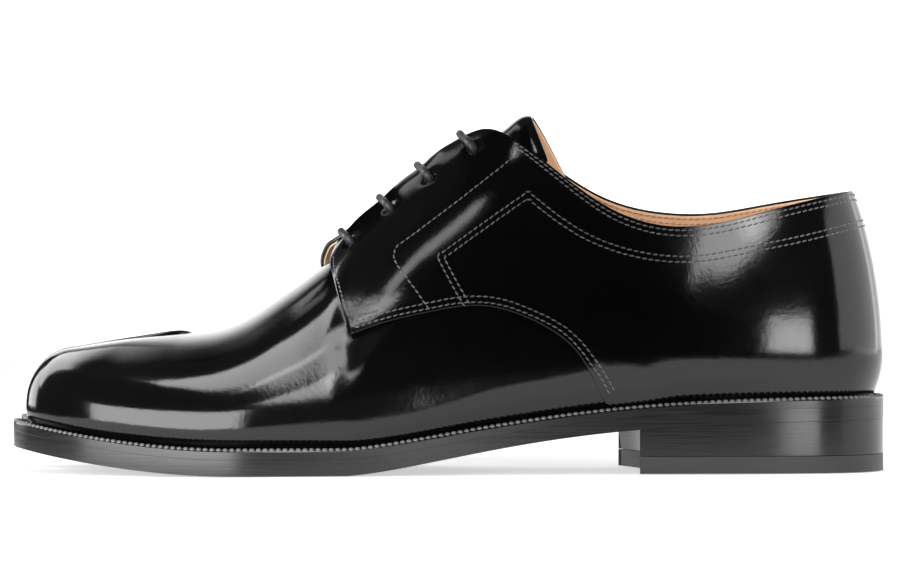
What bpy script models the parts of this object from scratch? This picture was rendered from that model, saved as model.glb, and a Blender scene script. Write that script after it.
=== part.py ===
"""A split-toe lace-up shoe for the left foot, in black leather on a welted leather sole with a stacked heel.

The toe points along -X, the outer side of the foot is -Y, and the floor is at z = 0. Tables and sizes are in
millimetres; the model is in metres.
"""

import math

import bmesh
import bpy
import numpy as np
from mathutils import Matrix, Vector

MM = 0.001
GAP = 0.3

# Sole: edge thickness, toe spring, the flat tread and the rise of the waist up to the heel.
FOREFOOT_EDGE = 8.7
WAIST_EDGE = 7.7
EDGE_THINS_FROM = -30.0
EDGE_THINS_TO = 40.0
TREAD_FRONT = -72.0
TREAD_BACK = -34.0
TOE_TIP = -150.0
TOE_SPRING = 9.0
SPRING_POWER = 1.8
HEEL_SEAT = 18.0
WAIST_LENGTH = 69.0
WAIST_POWER = 1.5
WELT_THICKNESS = 3.2
WELT_UNDER_UPPER = 2.4
INSOLE_ABOVE_WELT = 1.0

# Heel: the rubber top piece, the leather stack above it and its hollowed front.
TOP_PIECE = 5.8
HEEL_INSET = 0.4
BREAST_LATERAL = 64.5
BREAST_MEDIAL = 60.0
BREAST_HOLLOW = 6.0

# Upper: wall, how sharply it tucks in above the welt, the end of the cleft, the tops of the two toe lobes, the
# raised inner lip of the cleft, and the open throat.
WALL = 1.9
FEATHER_ANGLE = math.radians(28.0)
TUCK_HEEL = 2.0
TUCK_VAMP = 4.0
TUCK_FROM = 20.0
TUCK_LENGTH = 40.0
FORK = -87.0
LOBE_TOP_LATERAL = -126.0
LOBE_TOP_MEDIAL = -129.0
LOBE_SPREAD_LATERAL = 21.0
LOBE_SPREAD_MEDIAL = 20.0
LOBE_DROP_LATERAL = 0.7
LIP_RISE = 1.6
LIP_LENGTH = 26.0
THROAT_FRONT = -43.0
THROAT_HALF_GAP = 4.4
THROAT_WIDENS = 0.055
THROAT_ROUND = 4.0
COLLAR_FRONT = 2.0

# Tongue: how far it runs under the vamp, its top, its half width and its thickness.
TONGUE_FOOT = -58.0
TONGUE_TOP = 27.0
TONGUE_HALF_FOOT = 16.0
TONGUE_HALF_TOP = 32.0
TONGUE = 2.0
TONGUE_CLEAR = 1.5
TONGUE_ROWS = 14
TONGUE_STEPS = 10

# Laces: round cord in four bars, each across the throat from eyelet to eyelet.
LACE_DIAMETER = 2.8
LACE_STATIONS = (-36.0, -23.0, -10.0, 4.5)
LACE_REACH = 19.5
LACE_STEPS = 14
EYELET_DIAMETER = 4.0
EYELET_SIDES = 12
INSTEP_LEAN = 0.58

# One row for each rib of the upper, once round the sole from the back of the heel along the outer side.
# edge: point on the sole's edge; margin: visible welt; bulge and belly: how far out and up the widest point
# is; top_x: where the rib meets the ridge; fullness: 2 is an ellipse, more is squarer.
RIB_COLUMNS = ("edge_x", "edge_y", "margin", "bulge", "belly", "top_x", "fullness")
RIBS = {
    "heel back": (150.0, 0.0, 3.9, 3.8, 13.5, 104.0, 1.9),
    "heel corner lateral": (139.5, -23.2, 4.2, 3.3, 14.5, 104.0, 1.9),
    "heel side lateral": (115.0, -31.7, 4.3, 3.8, 15.5, 101.0, 1.96),
    "breast lateral": (72.0, -34.2, 4.6, 4.6, 17.5, 72.0, 2.02),
    "waist lateral": (35.0, -37.6, 4.2, 4.1, 14.5, 35.0, 2.08),
    "joint lateral": (-8.0, -45.0, 4.2, 3.5, 12.0, -8.0, 1.88),
    "ball lateral": (-52.0, -53.3, 5.4, 3.5, 10.0, -52.0, 1.9),
    "toe root lateral": (-88.0, -53.6, 5.8, 3.6, 8.6, -82.0, 2.01),
    "toe side lateral": (-118.0, -41.2, 5.8, 3.4, 7.0, -98.5, 2.09),
    "toe corner lateral": (-139.5, -25.6, 6.4, 3.1, 6.2, LOBE_TOP_LATERAL, 2.16),
    "tip lateral": (-148.4, -8.0, 6.8, 2.6, 6.2, LOBE_TOP_LATERAL, 2.05),
    "cleft mouth lateral": (-140.5, 6.5, 3.6, 2.6, 8.0, LOBE_TOP_LATERAL, 2.3),
    "cleft mid lateral": (-124.0, 10.2, 2.6, 2.2, 9.0, -108.0, 3.0),
    "cleft root lateral": (-107.0, 11.5, 2.6, 2.2, 10.0, -97.0, 3.0),
    "crotch": (-101.0, 13.0, 2.6, 2.0, 11.0, FORK, 2.6),
    "cleft root medial": (-107.0, 14.5, 2.6, 2.2, 10.0, -97.0, 3.0),
    "cleft mid medial": (-124.0, 15.8, 2.6, 2.2, 9.0, -110.0, 3.0),
    "cleft mouth medial": (-141.0, 19.0, 3.6, 2.6, 8.0, LOBE_TOP_MEDIAL, 2.3),
    "tip medial": (-150.0, 31.0, 5.0, 2.8, 6.2, LOBE_TOP_MEDIAL, 2.05),
    "toe corner medial": (-142.5, 43.5, 5.4, 3.0, 6.2, LOBE_TOP_MEDIAL, 2.16),
    "toe side medial": (-122.0, 51.0, 5.2, 3.2, 7.0, -112.0, 2.09),
    "toe root medial": (-95.0, 54.6, 5.0, 3.2, 8.6, -88.0, 2.01),
    "ball medial": (-64.0, 53.2, 4.6, 3.3, 10.5, -62.0, 1.95),
    "joint medial": (-22.0, 41.0, 3.6, 3.6, 14.0, -22.0, 1.92),
    "waist medial": (25.0, 27.5, 3.0, 4.0, 20.0, 25.0, 2.0),
    "breast medial": (70.0, 29.5, 3.0, 2.9, 16.5, 72.0, 1.97),
    "heel side medial": (114.0, 31.4, 3.0, 2.5, 14.5, 97.0, 1.9),
    "heel corner medial": (139.5, 22.5, 3.2, 2.2, 13.5, 104.0, 1.88),
}

# The ridge of the last along the foot. Behind the throat it is open, and these are the tops of the cone.
RIDGE_COLUMNS = ("x", "y", "z")
RIDGE = (
    (-131.0, 13.5, 42.0),
    (-113.0, 13.0, 44.6),
    (-90.0, 12.0, 46.7),
    (-77.0, 10.5, 48.6),
    (-66.0, 9.0, 53.8),
    (-56.0, 7.5, 60.6),
    (-47.0, 6.5, 67.0),
    (-43.0, 6.0, 71.4),
    (-38.5, 6.0, 78.2),
    (-34.0, 5.5, 83.2),
    (-26.0, 5.0, 90.6),
    (6.0, 4.0, 116.4),
    (25.0, 3.0, 124.0),
    (40.0, 2.0, 121.0),
    (72.0, 1.0, 117.0),
    (104.0, 0.0, 134.0),
)

# Height of the top edge behind the throat, on the outer and the inner side of the foot.
COLLAR_COLUMNS = ("x", "lateral_z", "medial_z")
COLLAR = (
    (6.0, 115.2, 115.6),
    (14.0, 117.4, 117.8),
    (22.0, 113.8, 115.0),
    (35.0, 104.0, 106.5),
    (52.0, 91.2, 95.5),
    (74.0, 83.5, 89.2),
    (93.0, 84.7, 88.9),
    (111.0, 89.3, 91.8),
    (138.0, 95.8, 96.0),
)

# How finely the forms are divided.
RIB_STEPS = 12
QUARTER_RIBS = 26
VAMP_RIBS = 6
STEPS_PER_CLEFT_ROW = 3
TIP_RIBS = 7
EDGE_STEPS_PER_ROW = 4
PLATE_STATIONS = 30
HEEL_STEPS = 46
BREAST_STEPS = 9
LOW_STEPS = 15
HIGH_STEPS = 60
ROW_SAMPLES = 800
WRAP = 5

# Distances for slopes, for joining corners at one place and for cutting, and the length of the eyelet punch.
SLOPE_STEP = 0.05
NORMAL_STEP = 0.5
JOINED = 0.01
TINY = 0.005
ON_PLANE = 0.02
PUNCH_LENGTH = 5.7


def smooth_slopes(knots, values):
    """Slopes at the knots of the curve with no jump in curvature."""
    steps = np.diff(knots)
    rises = np.diff(values) / steps
    count = len(knots)
    matrix = np.zeros((count, count))
    right = np.zeros(count)
    for i in range(1, count - 1):
        matrix[i, i - 1] = 1 / steps[i - 1]
        matrix[i, i] = 2 / steps[i - 1] + 2 / steps[i]
        matrix[i, i + 1] = 1 / steps[i]
        right[i] = 3 * (rises[i - 1] / steps[i - 1] + rises[i] / steps[i])
    matrix[0, :2] = 2, 1
    matrix[-1, -2:] = 1, 2
    right[0] = 3 * rises[0]
    right[-1] = 3 * rises[-1]
    return np.linalg.solve(matrix, right)


def steady_slopes(knots, values):
    """Slopes at the knots of a curve that never swings past its rows."""
    steps = np.diff(knots)
    rises = np.diff(values) / steps
    slopes = np.zeros(len(knots))
    slopes[0] = rises[0]
    slopes[-1] = rises[-1]
    for i in range(1, len(knots) - 1):
        if rises[i - 1] * rises[i] > 0:
            before = 2 * steps[i] + steps[i - 1]
            after = steps[i] + 2 * steps[i - 1]
            slopes[i] = (before + after) / (before / rises[i - 1] + after / rises[i])
    return slopes


def curve_at(knots, values, slopes, at):
    i = np.clip(np.searchsorted(knots, at, side="right") - 1, 0, len(knots) - 2)
    span = knots[i + 1] - knots[i]
    u = (at - knots[i]) / span
    start = values[i] * (1 + 2 * u) + slopes[i] * span * u
    end = values[i + 1] * (3 - 2 * u) + slopes[i + 1] * span * (u - 1)
    return start * (1 - u) ** 2 + end * u**2


def table_curve(rows, column):
    """A smooth function of the first column of a table."""
    table = np.array(rows)
    knots = table[:, 0]
    values = table[:, column]
    slopes = smooth_slopes(knots, values)
    return lambda at: curve_at(knots, values, slopes, np.clip(at, knots[0], knots[-1]))


ridge_y = table_curve(RIDGE, RIDGE_COLUMNS.index("y"))
ridge_z = table_curve(RIDGE, RIDGE_COLUMNS.index("z"))
collar_lateral = table_curve(COLLAR, COLLAR_COLUMNS.index("lateral_z"))
collar_medial = table_curve(COLLAR, COLLAR_COLUMNS.index("medial_z"))

rib_rows = np.array(list(RIBS.values()))
rib_names = list(RIBS)
around = np.concatenate([rib_rows[-WRAP:], rib_rows, rib_rows[: WRAP + 1]])
chords = np.hypot(np.diff(around[:, 0]), np.diff(around[:, 1]))
loop_knots = np.concatenate([[0.0], np.cumsum(chords)])
loop_knots = loop_knots - loop_knots[WRAP]
LOOP = loop_knots[WRAP + len(rib_rows)]
CROTCH = loop_knots[WRAP + rib_names.index("crotch")]
loop_curves = {}
for index, column_name in enumerate(RIB_COLUMNS):
    make_slopes = smooth_slopes if column_name.startswith("edge") else steady_slopes
    column_values = around[:, index]
    loop_curves[column_name] = (loop_knots, column_values, make_slopes(loop_knots, column_values))


def rib_value(column, t):
    return curve_at(*loop_curves[column], np.asarray(t, float) % LOOP)


def row_at(name):
    return loop_knots[WRAP + rib_names.index(name)]


def between_rows(first, last, steps):
    """Loop positions from one row to another, with this many steps from row to row."""
    start = WRAP + rib_names.index(first)
    end = WRAP + (rib_names.index(last) or len(rib_rows))
    rows = np.arange(steps * (end - start) + 1) / steps
    return np.interp(start + rows, np.arange(len(loop_knots)), loop_knots)


def edge_point(t, inset):
    """A point of the sole's outline, moved in from its edge."""
    along_x = rib_value("edge_x", t + SLOPE_STEP) - rib_value("edge_x", t - SLOPE_STEP)
    along_y = rib_value("edge_y", t + SLOPE_STEP) - rib_value("edge_y", t - SLOPE_STEP)
    length = np.hypot(along_x, along_y)
    x = rib_value("edge_x", t) + inset * along_y / length
    y = rib_value("edge_y", t) - inset * along_x / length
    return x, y


def smooth_step(value):
    value = np.clip(value, 0.0, 1.0)
    return value * value * (3 - 2 * value)


def sole_bottom(x):
    spring = np.clip((TREAD_FRONT - x) / (TREAD_FRONT - TOE_TIP), 0.0, None) ** SPRING_POWER
    waist = np.clip((x - TREAD_BACK) / WAIST_LENGTH, 0.0, None) ** WAIST_POWER
    return TOE_SPRING * spring + HEEL_SEAT * (1 - np.exp(-waist))


def sole_top(x):
    thinner = smooth_step((x - EDGE_THINS_FROM) / (EDGE_THINS_TO - EDGE_THINS_FROM))
    return sole_bottom(x) + FOREFOOT_EDGE - (FOREFOOT_EDGE - WAIST_EDGE) * thinner


def ridge_point(x, medial):
    """The top of the last: one ridge up to the fork, then one for each toe lobe."""
    pole = LOBE_TOP_MEDIAL if medial else LOBE_TOP_LATERAL
    spread = math.sin(math.pi / 2 * np.clip((FORK - x) / (FORK - pole), 0.0, 1.0))
    z = ridge_z(x)
    if medial:
        past_fork = np.clip((FORK - x) / LIP_LENGTH, 0.0, 1.0)
        lip = LIP_RISE * smooth_step(5 * past_fork) * (1 - smooth_step(past_fork))
        return np.array([x, ridge_y(x) + LOBE_SPREAD_MEDIAL * spread, z + lip])
    return np.array([x, ridge_y(x) - LOBE_SPREAD_LATERAL * spread, z - LOBE_DROP_LATERAL * spread])


def rib_curve(t, top_x=None):
    """A dense rib of the last, from the feather edge on the welt up to the ridge."""
    medial = t > CROTCH
    top = ridge_point(rib_value("top_x", t) if top_x is None else top_x, medial)
    x, y = edge_point(t, rib_value("margin", t))
    foot = np.array([x, y, sole_top(x) + GAP])
    inward = top[:2] - foot[:2]
    reach = np.hypot(*inward)
    inward = inward / reach
    bulge = rib_value("bulge", t)
    belly = rib_value("belly", t)
    power = 2 / rib_value("fullness", t)
    low = np.linspace(FEATHER_ANGLE, math.pi / 2, LOW_STEPS)[:-1]
    low_share = (math.cos(FEATHER_ANGLE) - np.cos(low)) / math.cos(FEATHER_ANGLE)
    tuck = TUCK_HEEL + (TUCK_VAMP - TUCK_HEEL) * smooth_step((TUCK_FROM - x) / TUCK_LENGTH)
    low_out = -bulge * (1 - (1 - low_share) ** tuck)
    low_up = belly * low_share
    high = np.linspace(0, math.pi / 2, HIGH_STEPS)
    high_out = reach - (reach + bulge) * np.clip(np.cos(high), 0, 1) ** power
    high_up = belly + (top[2] - foot[2] - belly) * np.sin(high) ** power
    out = np.concatenate([low_out, high_out])
    up = np.concatenate([low_up, high_up])
    return np.column_stack([foot[0] + inward[0] * out, foot[1] + inward[1] * out, foot[2] + up])


def throat_half_gap(x):
    opening = np.sqrt(np.clip((x - THROAT_FRONT) / THROAT_ROUND, 0.0, 1.0))
    return (THROAT_HALF_GAP + THROAT_WIDENS * (x - THROAT_FRONT)) * opening


def cut_rib(points, medial):
    """The rib up to the collar or the throat, whichever it comes to first."""
    collar = collar_medial if medial else collar_lateral
    over_collar = np.where(points[:, 0] > COLLAR_FRONT, points[:, 2] - collar(points[:, 0]), -1.0)
    from_ridge = np.hypot(points[:, 0] - points[-1, 0], points[:, 1] - points[-1, 1])
    in_throat = np.where(points[-1, 0] > THROAT_FRONT, throat_half_gap(points[-1, 0]) - from_ridge, -1.0)
    beyond = np.maximum(over_collar, in_throat)
    if beyond[-1] < 0:
        return points
    first = int(np.argmax(beyond >= 0))
    share = beyond[first - 1] / (beyond[first - 1] - beyond[first])
    end = points[first - 1] + share * (points[first] - points[first - 1])
    return np.vstack([points[:first], end])


def even_points(points, count):
    """Points spread evenly along a line."""
    lengths = np.concatenate([[0.0], np.cumsum(np.linalg.norm(np.diff(points, axis=0), axis=1))])
    at = np.linspace(0, lengths[-1], count + 1)
    return np.column_stack([np.interp(at, lengths, points[:, axis]) for axis in range(3)])


def rib_places(first, last, stations):
    """Loop positions between two rows whose ribs meet the ridge at these stations."""
    t = np.linspace(row_at(first), row_at(last), ROW_SAMPLES)
    tops = rib_value("top_x", t)
    order = np.argsort(tops)
    return np.interp(stations, tops[order], t[order])


def upper_ribs():
    """Every rib of the upper, in order once round the sole."""
    vamp = np.linspace(THROAT_FRONT, FORK, VAMP_RIBS)
    cleft_lateral = between_rows("cleft mouth lateral", "crotch", STEPS_PER_CLEFT_ROW)
    cleft_medial = between_rows("crotch", "cleft mouth medial", STEPS_PER_CLEFT_ROW)
    lateral = rib_value("top_x", cleft_lateral)[::-1]
    medial = rib_value("top_x", cleft_medial)
    throat_lateral = rib_places("joint lateral", "ball lateral", THROAT_FRONT)
    throat_medial = rib_places("ball medial", "joint medial", THROAT_FRONT)
    lateral_front = np.concatenate([vamp, lateral[1:]])
    medial_front = np.concatenate([vamp, medial[1:]])
    places = [(t, None) for t in np.linspace(0, throat_lateral, QUARTER_RIBS, endpoint=False)]
    places += zip(rib_places("joint lateral", "toe corner lateral", lateral_front), lateral_front)
    tip = np.linspace(row_at("toe corner lateral"), row_at("cleft mouth lateral"), TIP_RIBS + 2)[1:-1]
    places += [(t, LOBE_TOP_LATERAL) for t in tip]
    places += zip(cleft_lateral, lateral[::-1])
    places += zip(cleft_medial[1:], medial[1:])
    tip = np.linspace(row_at("cleft mouth medial"), row_at("toe corner medial"), TIP_RIBS + 2)[1:-1]
    places += [(t, LOBE_TOP_MEDIAL) for t in tip]
    places += list(zip(rib_places("toe corner medial", "joint medial", medial_front), medial_front))[::-1]
    places += [(t, None) for t in np.linspace(throat_medial, LOOP, QUARTER_RIBS + 1)[1:-1]]
    return [even_points(cut_rib(rib_curve(t, top), t > CROTCH), RIB_STEPS) for t, top in places]


def new_object(name, mesh, material, collection):
    made = bpy.data.objects.new(name, mesh)
    mesh.materials.append(material)
    collection.objects.link(made)
    return made


def mesh_from(name, corners, faces):
    """A mesh in metres from corners in millimetres, with corners at one place joined."""
    form = bmesh.new()
    points = [form.verts.new(np.asarray(corner) * MM) for corner in corners]
    for face in faces:
        form.faces.new([points[i] for i in face])
    bmesh.ops.remove_doubles(form, verts=form.verts, dist=JOINED * MM)
    bmesh.ops.dissolve_degenerate(form, edges=form.edges, dist=TINY * MM)
    bmesh.ops.recalc_face_normals(form, faces=form.faces)
    mesh = bpy.data.meshes.new(name)
    form.to_mesh(mesh)
    form.free()
    return mesh


def plate(name, outline, low, high):
    """A plate with this outline whose lower and upper faces follow two heights along the foot."""
    form = bmesh.new()
    outline = np.asarray(outline)
    form.faces.new([form.verts.new((x * MM, y * MM, 0)) for x, y in outline])
    for x in np.linspace(outline[:, 0].min(), outline[:, 0].max(), PLATE_STATIONS)[1:-1]:
        parts = form.verts[:] + form.edges[:] + form.faces[:]
        bmesh.ops.bisect_plane(
            form, geom=parts, plane_co=(x * MM, 0, 0), plane_no=(1, 0, 0), dist=ON_PLANE * MM
        )
    lower = form.verts[:]
    made = bmesh.ops.extrude_face_region(form, geom=form.faces[:])["geom"]
    for vertex in lower:
        vertex.co.z = low(vertex.co.x / MM) * MM
    for vertex in made:
        if isinstance(vertex, bmesh.types.BMVert):
            vertex.co.z = high(vertex.co.x / MM) * MM
    bmesh.ops.triangulate(form, faces=form.faces[:])
    bmesh.ops.recalc_face_normals(form, faces=form.faces)
    mesh = bpy.data.meshes.new(name)
    form.to_mesh(mesh)
    form.free()
    return mesh


def leather(name, color, roughness):
    material = bpy.data.materials.new(name)
    material.use_nodes = True
    shader = material.node_tree.nodes["Principled BSDF"]
    shader.inputs["Base Color"].default_value = (*color, 1)
    shader.inputs["Roughness"].default_value = roughness
    shader.inputs["Metallic"].default_value = 0.0
    return material


for old in list(bpy.data.objects):
    bpy.data.objects.remove(old)

shoe = bpy.data.collections.new("split_toe_lace_up_shoe")
bpy.context.scene.collection.children.link(shoe)
cutters = bpy.data.collections.new("cutters")
cutters.hide_render = True
bpy.context.scene.collection.children.link(cutters)

edge_t = between_rows("heel back", "heel back", EDGE_STEPS_PER_ROW)[:-1]

# Outsole: a leather sole cut to the split outline, with toe spring, waist and heel seat.
outsole_outline = np.column_stack(edge_point(edge_t, 0.0))
outsole_mesh = plate("outsole", outsole_outline, sole_bottom, lambda x: sole_top(x) - WELT_THICKNESS)
new_object("outsole", outsole_mesh, leather("outsole_leather", (0.02, 0.017, 0.015), 0.4), shoe)

# Welt: a strip all round on top of the outsole, which the upper stands on.
welt_inset = rib_value("margin", edge_t) + WELT_UNDER_UPPER
welt_outer = np.column_stack(edge_point(edge_t, 0.0))
welt_inner = np.column_stack(edge_point(edge_t, welt_inset))
welt_corners = []
for ring, below in ((welt_outer, WELT_THICKNESS - GAP), (welt_outer, 0), (welt_inner, 0),
                    (welt_inner, WELT_THICKNESS - GAP)):
    welt_corners += [(x, y, sole_top(x) - below) for x, y in ring]
welt_faces = []
for row in range(4):
    for i in range(len(edge_t)):
        after = (i + 1) % len(edge_t)
        start = row * len(edge_t)
        end = (row + 1) % 4 * len(edge_t)
        welt_faces.append((start + i, start + after, end + after, end + i))
welt_mesh = mesh_from("welt", welt_corners, welt_faces)
new_object("welt", welt_mesh, leather("welt_leather", (0.012, 0.011, 0.011), 0.35), shoe)

# Insole: it fills the welt and is the floor that the foot stands on.
insole_outline = np.column_stack(edge_point(edge_t, welt_inset + GAP))
insole_mesh = plate("insole", insole_outline, lambda x: sole_top(x) - WELT_THICKNESS + GAP,
                    lambda x: sole_top(x) + INSOLE_ABOVE_WELT)
new_object("insole", insole_mesh, leather("lining_leather", (0.45, 0.27, 0.14), 0.55), shoe)


def heel_outline(inset):
    """The heel end of the sole's outline, closed by the hollowed breast."""
    t = np.linspace(-LOOP / 2, LOOP / 2, ROW_SAMPLES)
    x, y = edge_point(t, inset)
    behind = t[x >= np.where(y < 0, BREAST_LATERAL, BREAST_MEDIAL)]
    rim = np.column_stack(edge_point(np.linspace(behind[0], behind[-1], HEEL_STEPS + 1), inset))
    along = np.linspace(0, 1, BREAST_STEPS + 1)[1:-1, None]
    breast = rim[-1] + along * (rim[0] - rim[-1])
    breast[:, 0] += BREAST_HOLLOW * (4 * along * (1 - along))[:, 0]
    return np.vstack([rim, breast])


# Heel: a stack of leather lifts under the seat, and a rubber top piece that wears on the ground.
heel_rim = heel_outline(HEEL_INSET)
stack_mesh = plate("heel_stack", heel_rim, lambda x: TOP_PIECE + GAP, lambda x: sole_bottom(x) - GAP)
new_object("heel_stack", stack_mesh, leather("stack_leather", (0.05, 0.042, 0.036), 0.4), shoe)
top_piece_mesh = plate("top_piece", heel_rim, lambda x: 0.0, lambda x: TOP_PIECE)
new_object("top_piece", top_piece_mesh, leather("heel_rubber", (0.014, 0.014, 0.015), 0.6), shoe)

# Upper: the whole leather shell, open at the collar, the throat and underneath.
ribs = upper_ribs()
rib_length = RIB_STEPS + 1
upper_faces = []
for i in range(len(ribs)):
    after = (i + 1) % len(ribs)
    for j in range(RIB_STEPS):
        low, high = i * rib_length + j, after * rib_length + j
        upper_faces.append((low, high, high + 1, low + 1))
upper_mesh = mesh_from("upper", [point for rib in ribs for point in rib], upper_faces)
upper = new_object("upper", upper_mesh, leather("polished_leather", (0.008, 0.008, 0.009), 0.16), shoe)
thickness = upper.modifiers.new("wall", "SOLIDIFY")
thickness.thickness = WALL * MM
thickness.offset = -1
thickness.use_even_offset = True


def instep_point(x, away):
    """A point on the last this far from the ridge, in a plane square to it; below zero is the outer side."""
    def level_point(station):
        first, last = ("ball medial", "breast medial") if away > 0 else ("breast lateral", "ball lateral")
        curve = rib_curve(rib_places(first, last, station), station)[::-1]
        lengths = np.concatenate([[0.0], np.cumsum(np.linalg.norm(np.diff(curve, axis=0), axis=1))])
        return np.array([np.interp(abs(away), lengths, curve[:, axis]) for axis in range(3)])

    drop = ridge_z(x) - level_point(x)[2]
    return level_point(x + INSTEP_LEAN * drop)


def off_instep(x, away, height):
    """A point this far off the last at a place on the instep."""
    along = instep_point(x + NORMAL_STEP, away) - instep_point(x - NORMAL_STEP, away)
    across = instep_point(x, away + NORMAL_STEP) - instep_point(x, away - NORMAL_STEP)
    normal = np.cross(along, across)
    normal = normal / np.linalg.norm(normal)
    return instep_point(x, away) + height * normal, normal


# Tongue: a leather sheet under the facings, from under the vamp to above the top of the throat.
tongue_corners = []
for row in np.linspace(0, 1, TONGUE_ROWS + 1):
    station = TONGUE_FOOT + row * (TONGUE_TOP - TONGUE_FOOT)
    half_width = TONGUE_HALF_FOOT + row * (TONGUE_HALF_TOP - TONGUE_HALF_FOOT)
    for away in np.linspace(-half_width, half_width, TONGUE_STEPS + 1):
        tongue_corners.append(off_instep(station, away, -WALL - TONGUE_CLEAR)[0])
tongue_faces = []
for row in range(TONGUE_ROWS):
    for step in range(TONGUE_STEPS):
        low = row * (TONGUE_STEPS + 1) + step
        high = low + TONGUE_STEPS + 1
        tongue_faces.append((low, low + 1, high + 1, high))
tongue_mesh = mesh_from("tongue", tongue_corners, tongue_faces)
tongue = new_object("tongue", tongue_mesh, leather("tongue_leather", (0.01, 0.01, 0.011), 0.2), shoe)
tongue_thickness = tongue.modifiers.new("thickness", "SOLIDIFY")
tongue_thickness.thickness = TONGUE * MM
tongue_thickness.offset = -1
tongue_thickness.use_even_offset = True

# Laces: four bars of waxed cord that lie on the facings over the throat.
lace_material = leather("waxed_lace", (0.012, 0.012, 0.012), 0.5)
for number, station in enumerate(LACE_STATIONS, 1):
    cord = bpy.data.curves.new(f"lace_bar_{number}", "CURVE")
    cord.dimensions = "3D"
    cord.bevel_depth = LACE_DIAMETER / 2 * MM
    cord.bevel_resolution = 2
    cord.use_fill_caps = True
    line = cord.splines.new("POLY")
    line.points.add(LACE_STEPS)
    for point, away in zip(line.points, np.linspace(-LACE_REACH, LACE_REACH, LACE_STEPS + 1)):
        place = off_instep(station, away, LACE_DIAMETER / 2 + GAP)[0]
        point.co = (*(place * MM), 1)
    new_object(f"lace_bar_{number}", cord, lace_material, shoe)

# Eyelets: a round hole punched through both facings at each end of a lace bar.
punch_form = bmesh.new()
for station in LACE_STATIONS:
    for away in (-LACE_REACH, LACE_REACH):
        middle, axis = off_instep(station, away, -WALL / 2)
        turned = Vector((0, 0, 1)).rotation_difference(Vector(axis)).to_matrix().to_4x4()
        bmesh.ops.create_cone(
            punch_form,
            cap_ends=True,
            segments=EYELET_SIDES,
            radius1=EYELET_DIAMETER / 2 * MM,
            radius2=EYELET_DIAMETER / 2 * MM,
            depth=PUNCH_LENGTH * MM,
            matrix=Matrix.Translation(middle * MM) @ turned,
        )
punch_mesh = bpy.data.meshes.new("eyelet_punch")
punch_form.to_mesh(punch_mesh)
punch_form.free()
punch = bpy.data.objects.new("eyelet_punch", punch_mesh)
punch.display_type = "WIRE"
punch.hide_render = True
cutters.objects.link(punch)
eyelets = upper.modifiers.new("eyelets", "BOOLEAN")
eyelets.operation = "DIFFERENCE"
eyelets.solver = "EXACT"
eyelets.object = punch
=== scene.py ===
"""Looks of the split-toe lace-up shoe for the left foot: polished black leather on a welted leather sole.

The toe points along -X and the outer side of the foot is -Y. Sizes are in millimetres, meshes in metres.
"""

import math

import bmesh
import bpy
import numpy as np
from mathutils import Matrix, Vector
from mathutils.bvhtree import BVHTree


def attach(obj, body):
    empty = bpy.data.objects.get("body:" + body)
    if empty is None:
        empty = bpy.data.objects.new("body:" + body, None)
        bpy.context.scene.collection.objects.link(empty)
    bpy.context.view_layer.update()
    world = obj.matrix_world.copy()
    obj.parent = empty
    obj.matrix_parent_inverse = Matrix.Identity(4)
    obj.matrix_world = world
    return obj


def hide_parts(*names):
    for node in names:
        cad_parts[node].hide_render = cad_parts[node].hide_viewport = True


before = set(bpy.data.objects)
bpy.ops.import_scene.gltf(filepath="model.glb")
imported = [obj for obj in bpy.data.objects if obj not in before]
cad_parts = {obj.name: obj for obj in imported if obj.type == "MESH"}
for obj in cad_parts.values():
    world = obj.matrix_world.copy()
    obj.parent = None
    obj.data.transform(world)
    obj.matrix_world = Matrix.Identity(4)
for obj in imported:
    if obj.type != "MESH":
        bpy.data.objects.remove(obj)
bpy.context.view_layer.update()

# Vamp: the front of the upper, calf leather polished to a high shine. It is cut with the cleft between the big
# toe and the others, pulled over the last and tacked under it. Its back edge lies hidden under the quarters.
MM = 0.001
GAP = 0.3
FOREFOOT_EDGE = 8.7
WAIST_EDGE = 7.7
EDGE_THINS_FROM = -30.0
EDGE_THINS_TO = 40.0
TREAD_FRONT = -72.0
TREAD_BACK = -34.0
TOE_TIP = -150.0
TOE_SPRING = 9.0
SPRING_POWER = 1.8
HEEL_SEAT = 18.0
WAIST_LENGTH = 69.0
WAIST_POWER = 1.5
FEATHER_ANGLE = math.radians(28.0)
TUCK_HEEL = 2.0
TUCK_VAMP = 4.0
TUCK_FROM = 20.0
TUCK_LENGTH = 40.0
FEATHER_SINK = 0.9
FORK = -87.0
LOBE_TOP_LATERAL = -126.0
LOBE_TOP_MEDIAL = -129.0
LOBE_SPREAD_LATERAL = 21.0
LOBE_SPREAD_MEDIAL = 20.0
LOBE_DROP_LATERAL = 0.7
LIP_RISE = 1.6
LIP_LENGTH = 26.0

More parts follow.
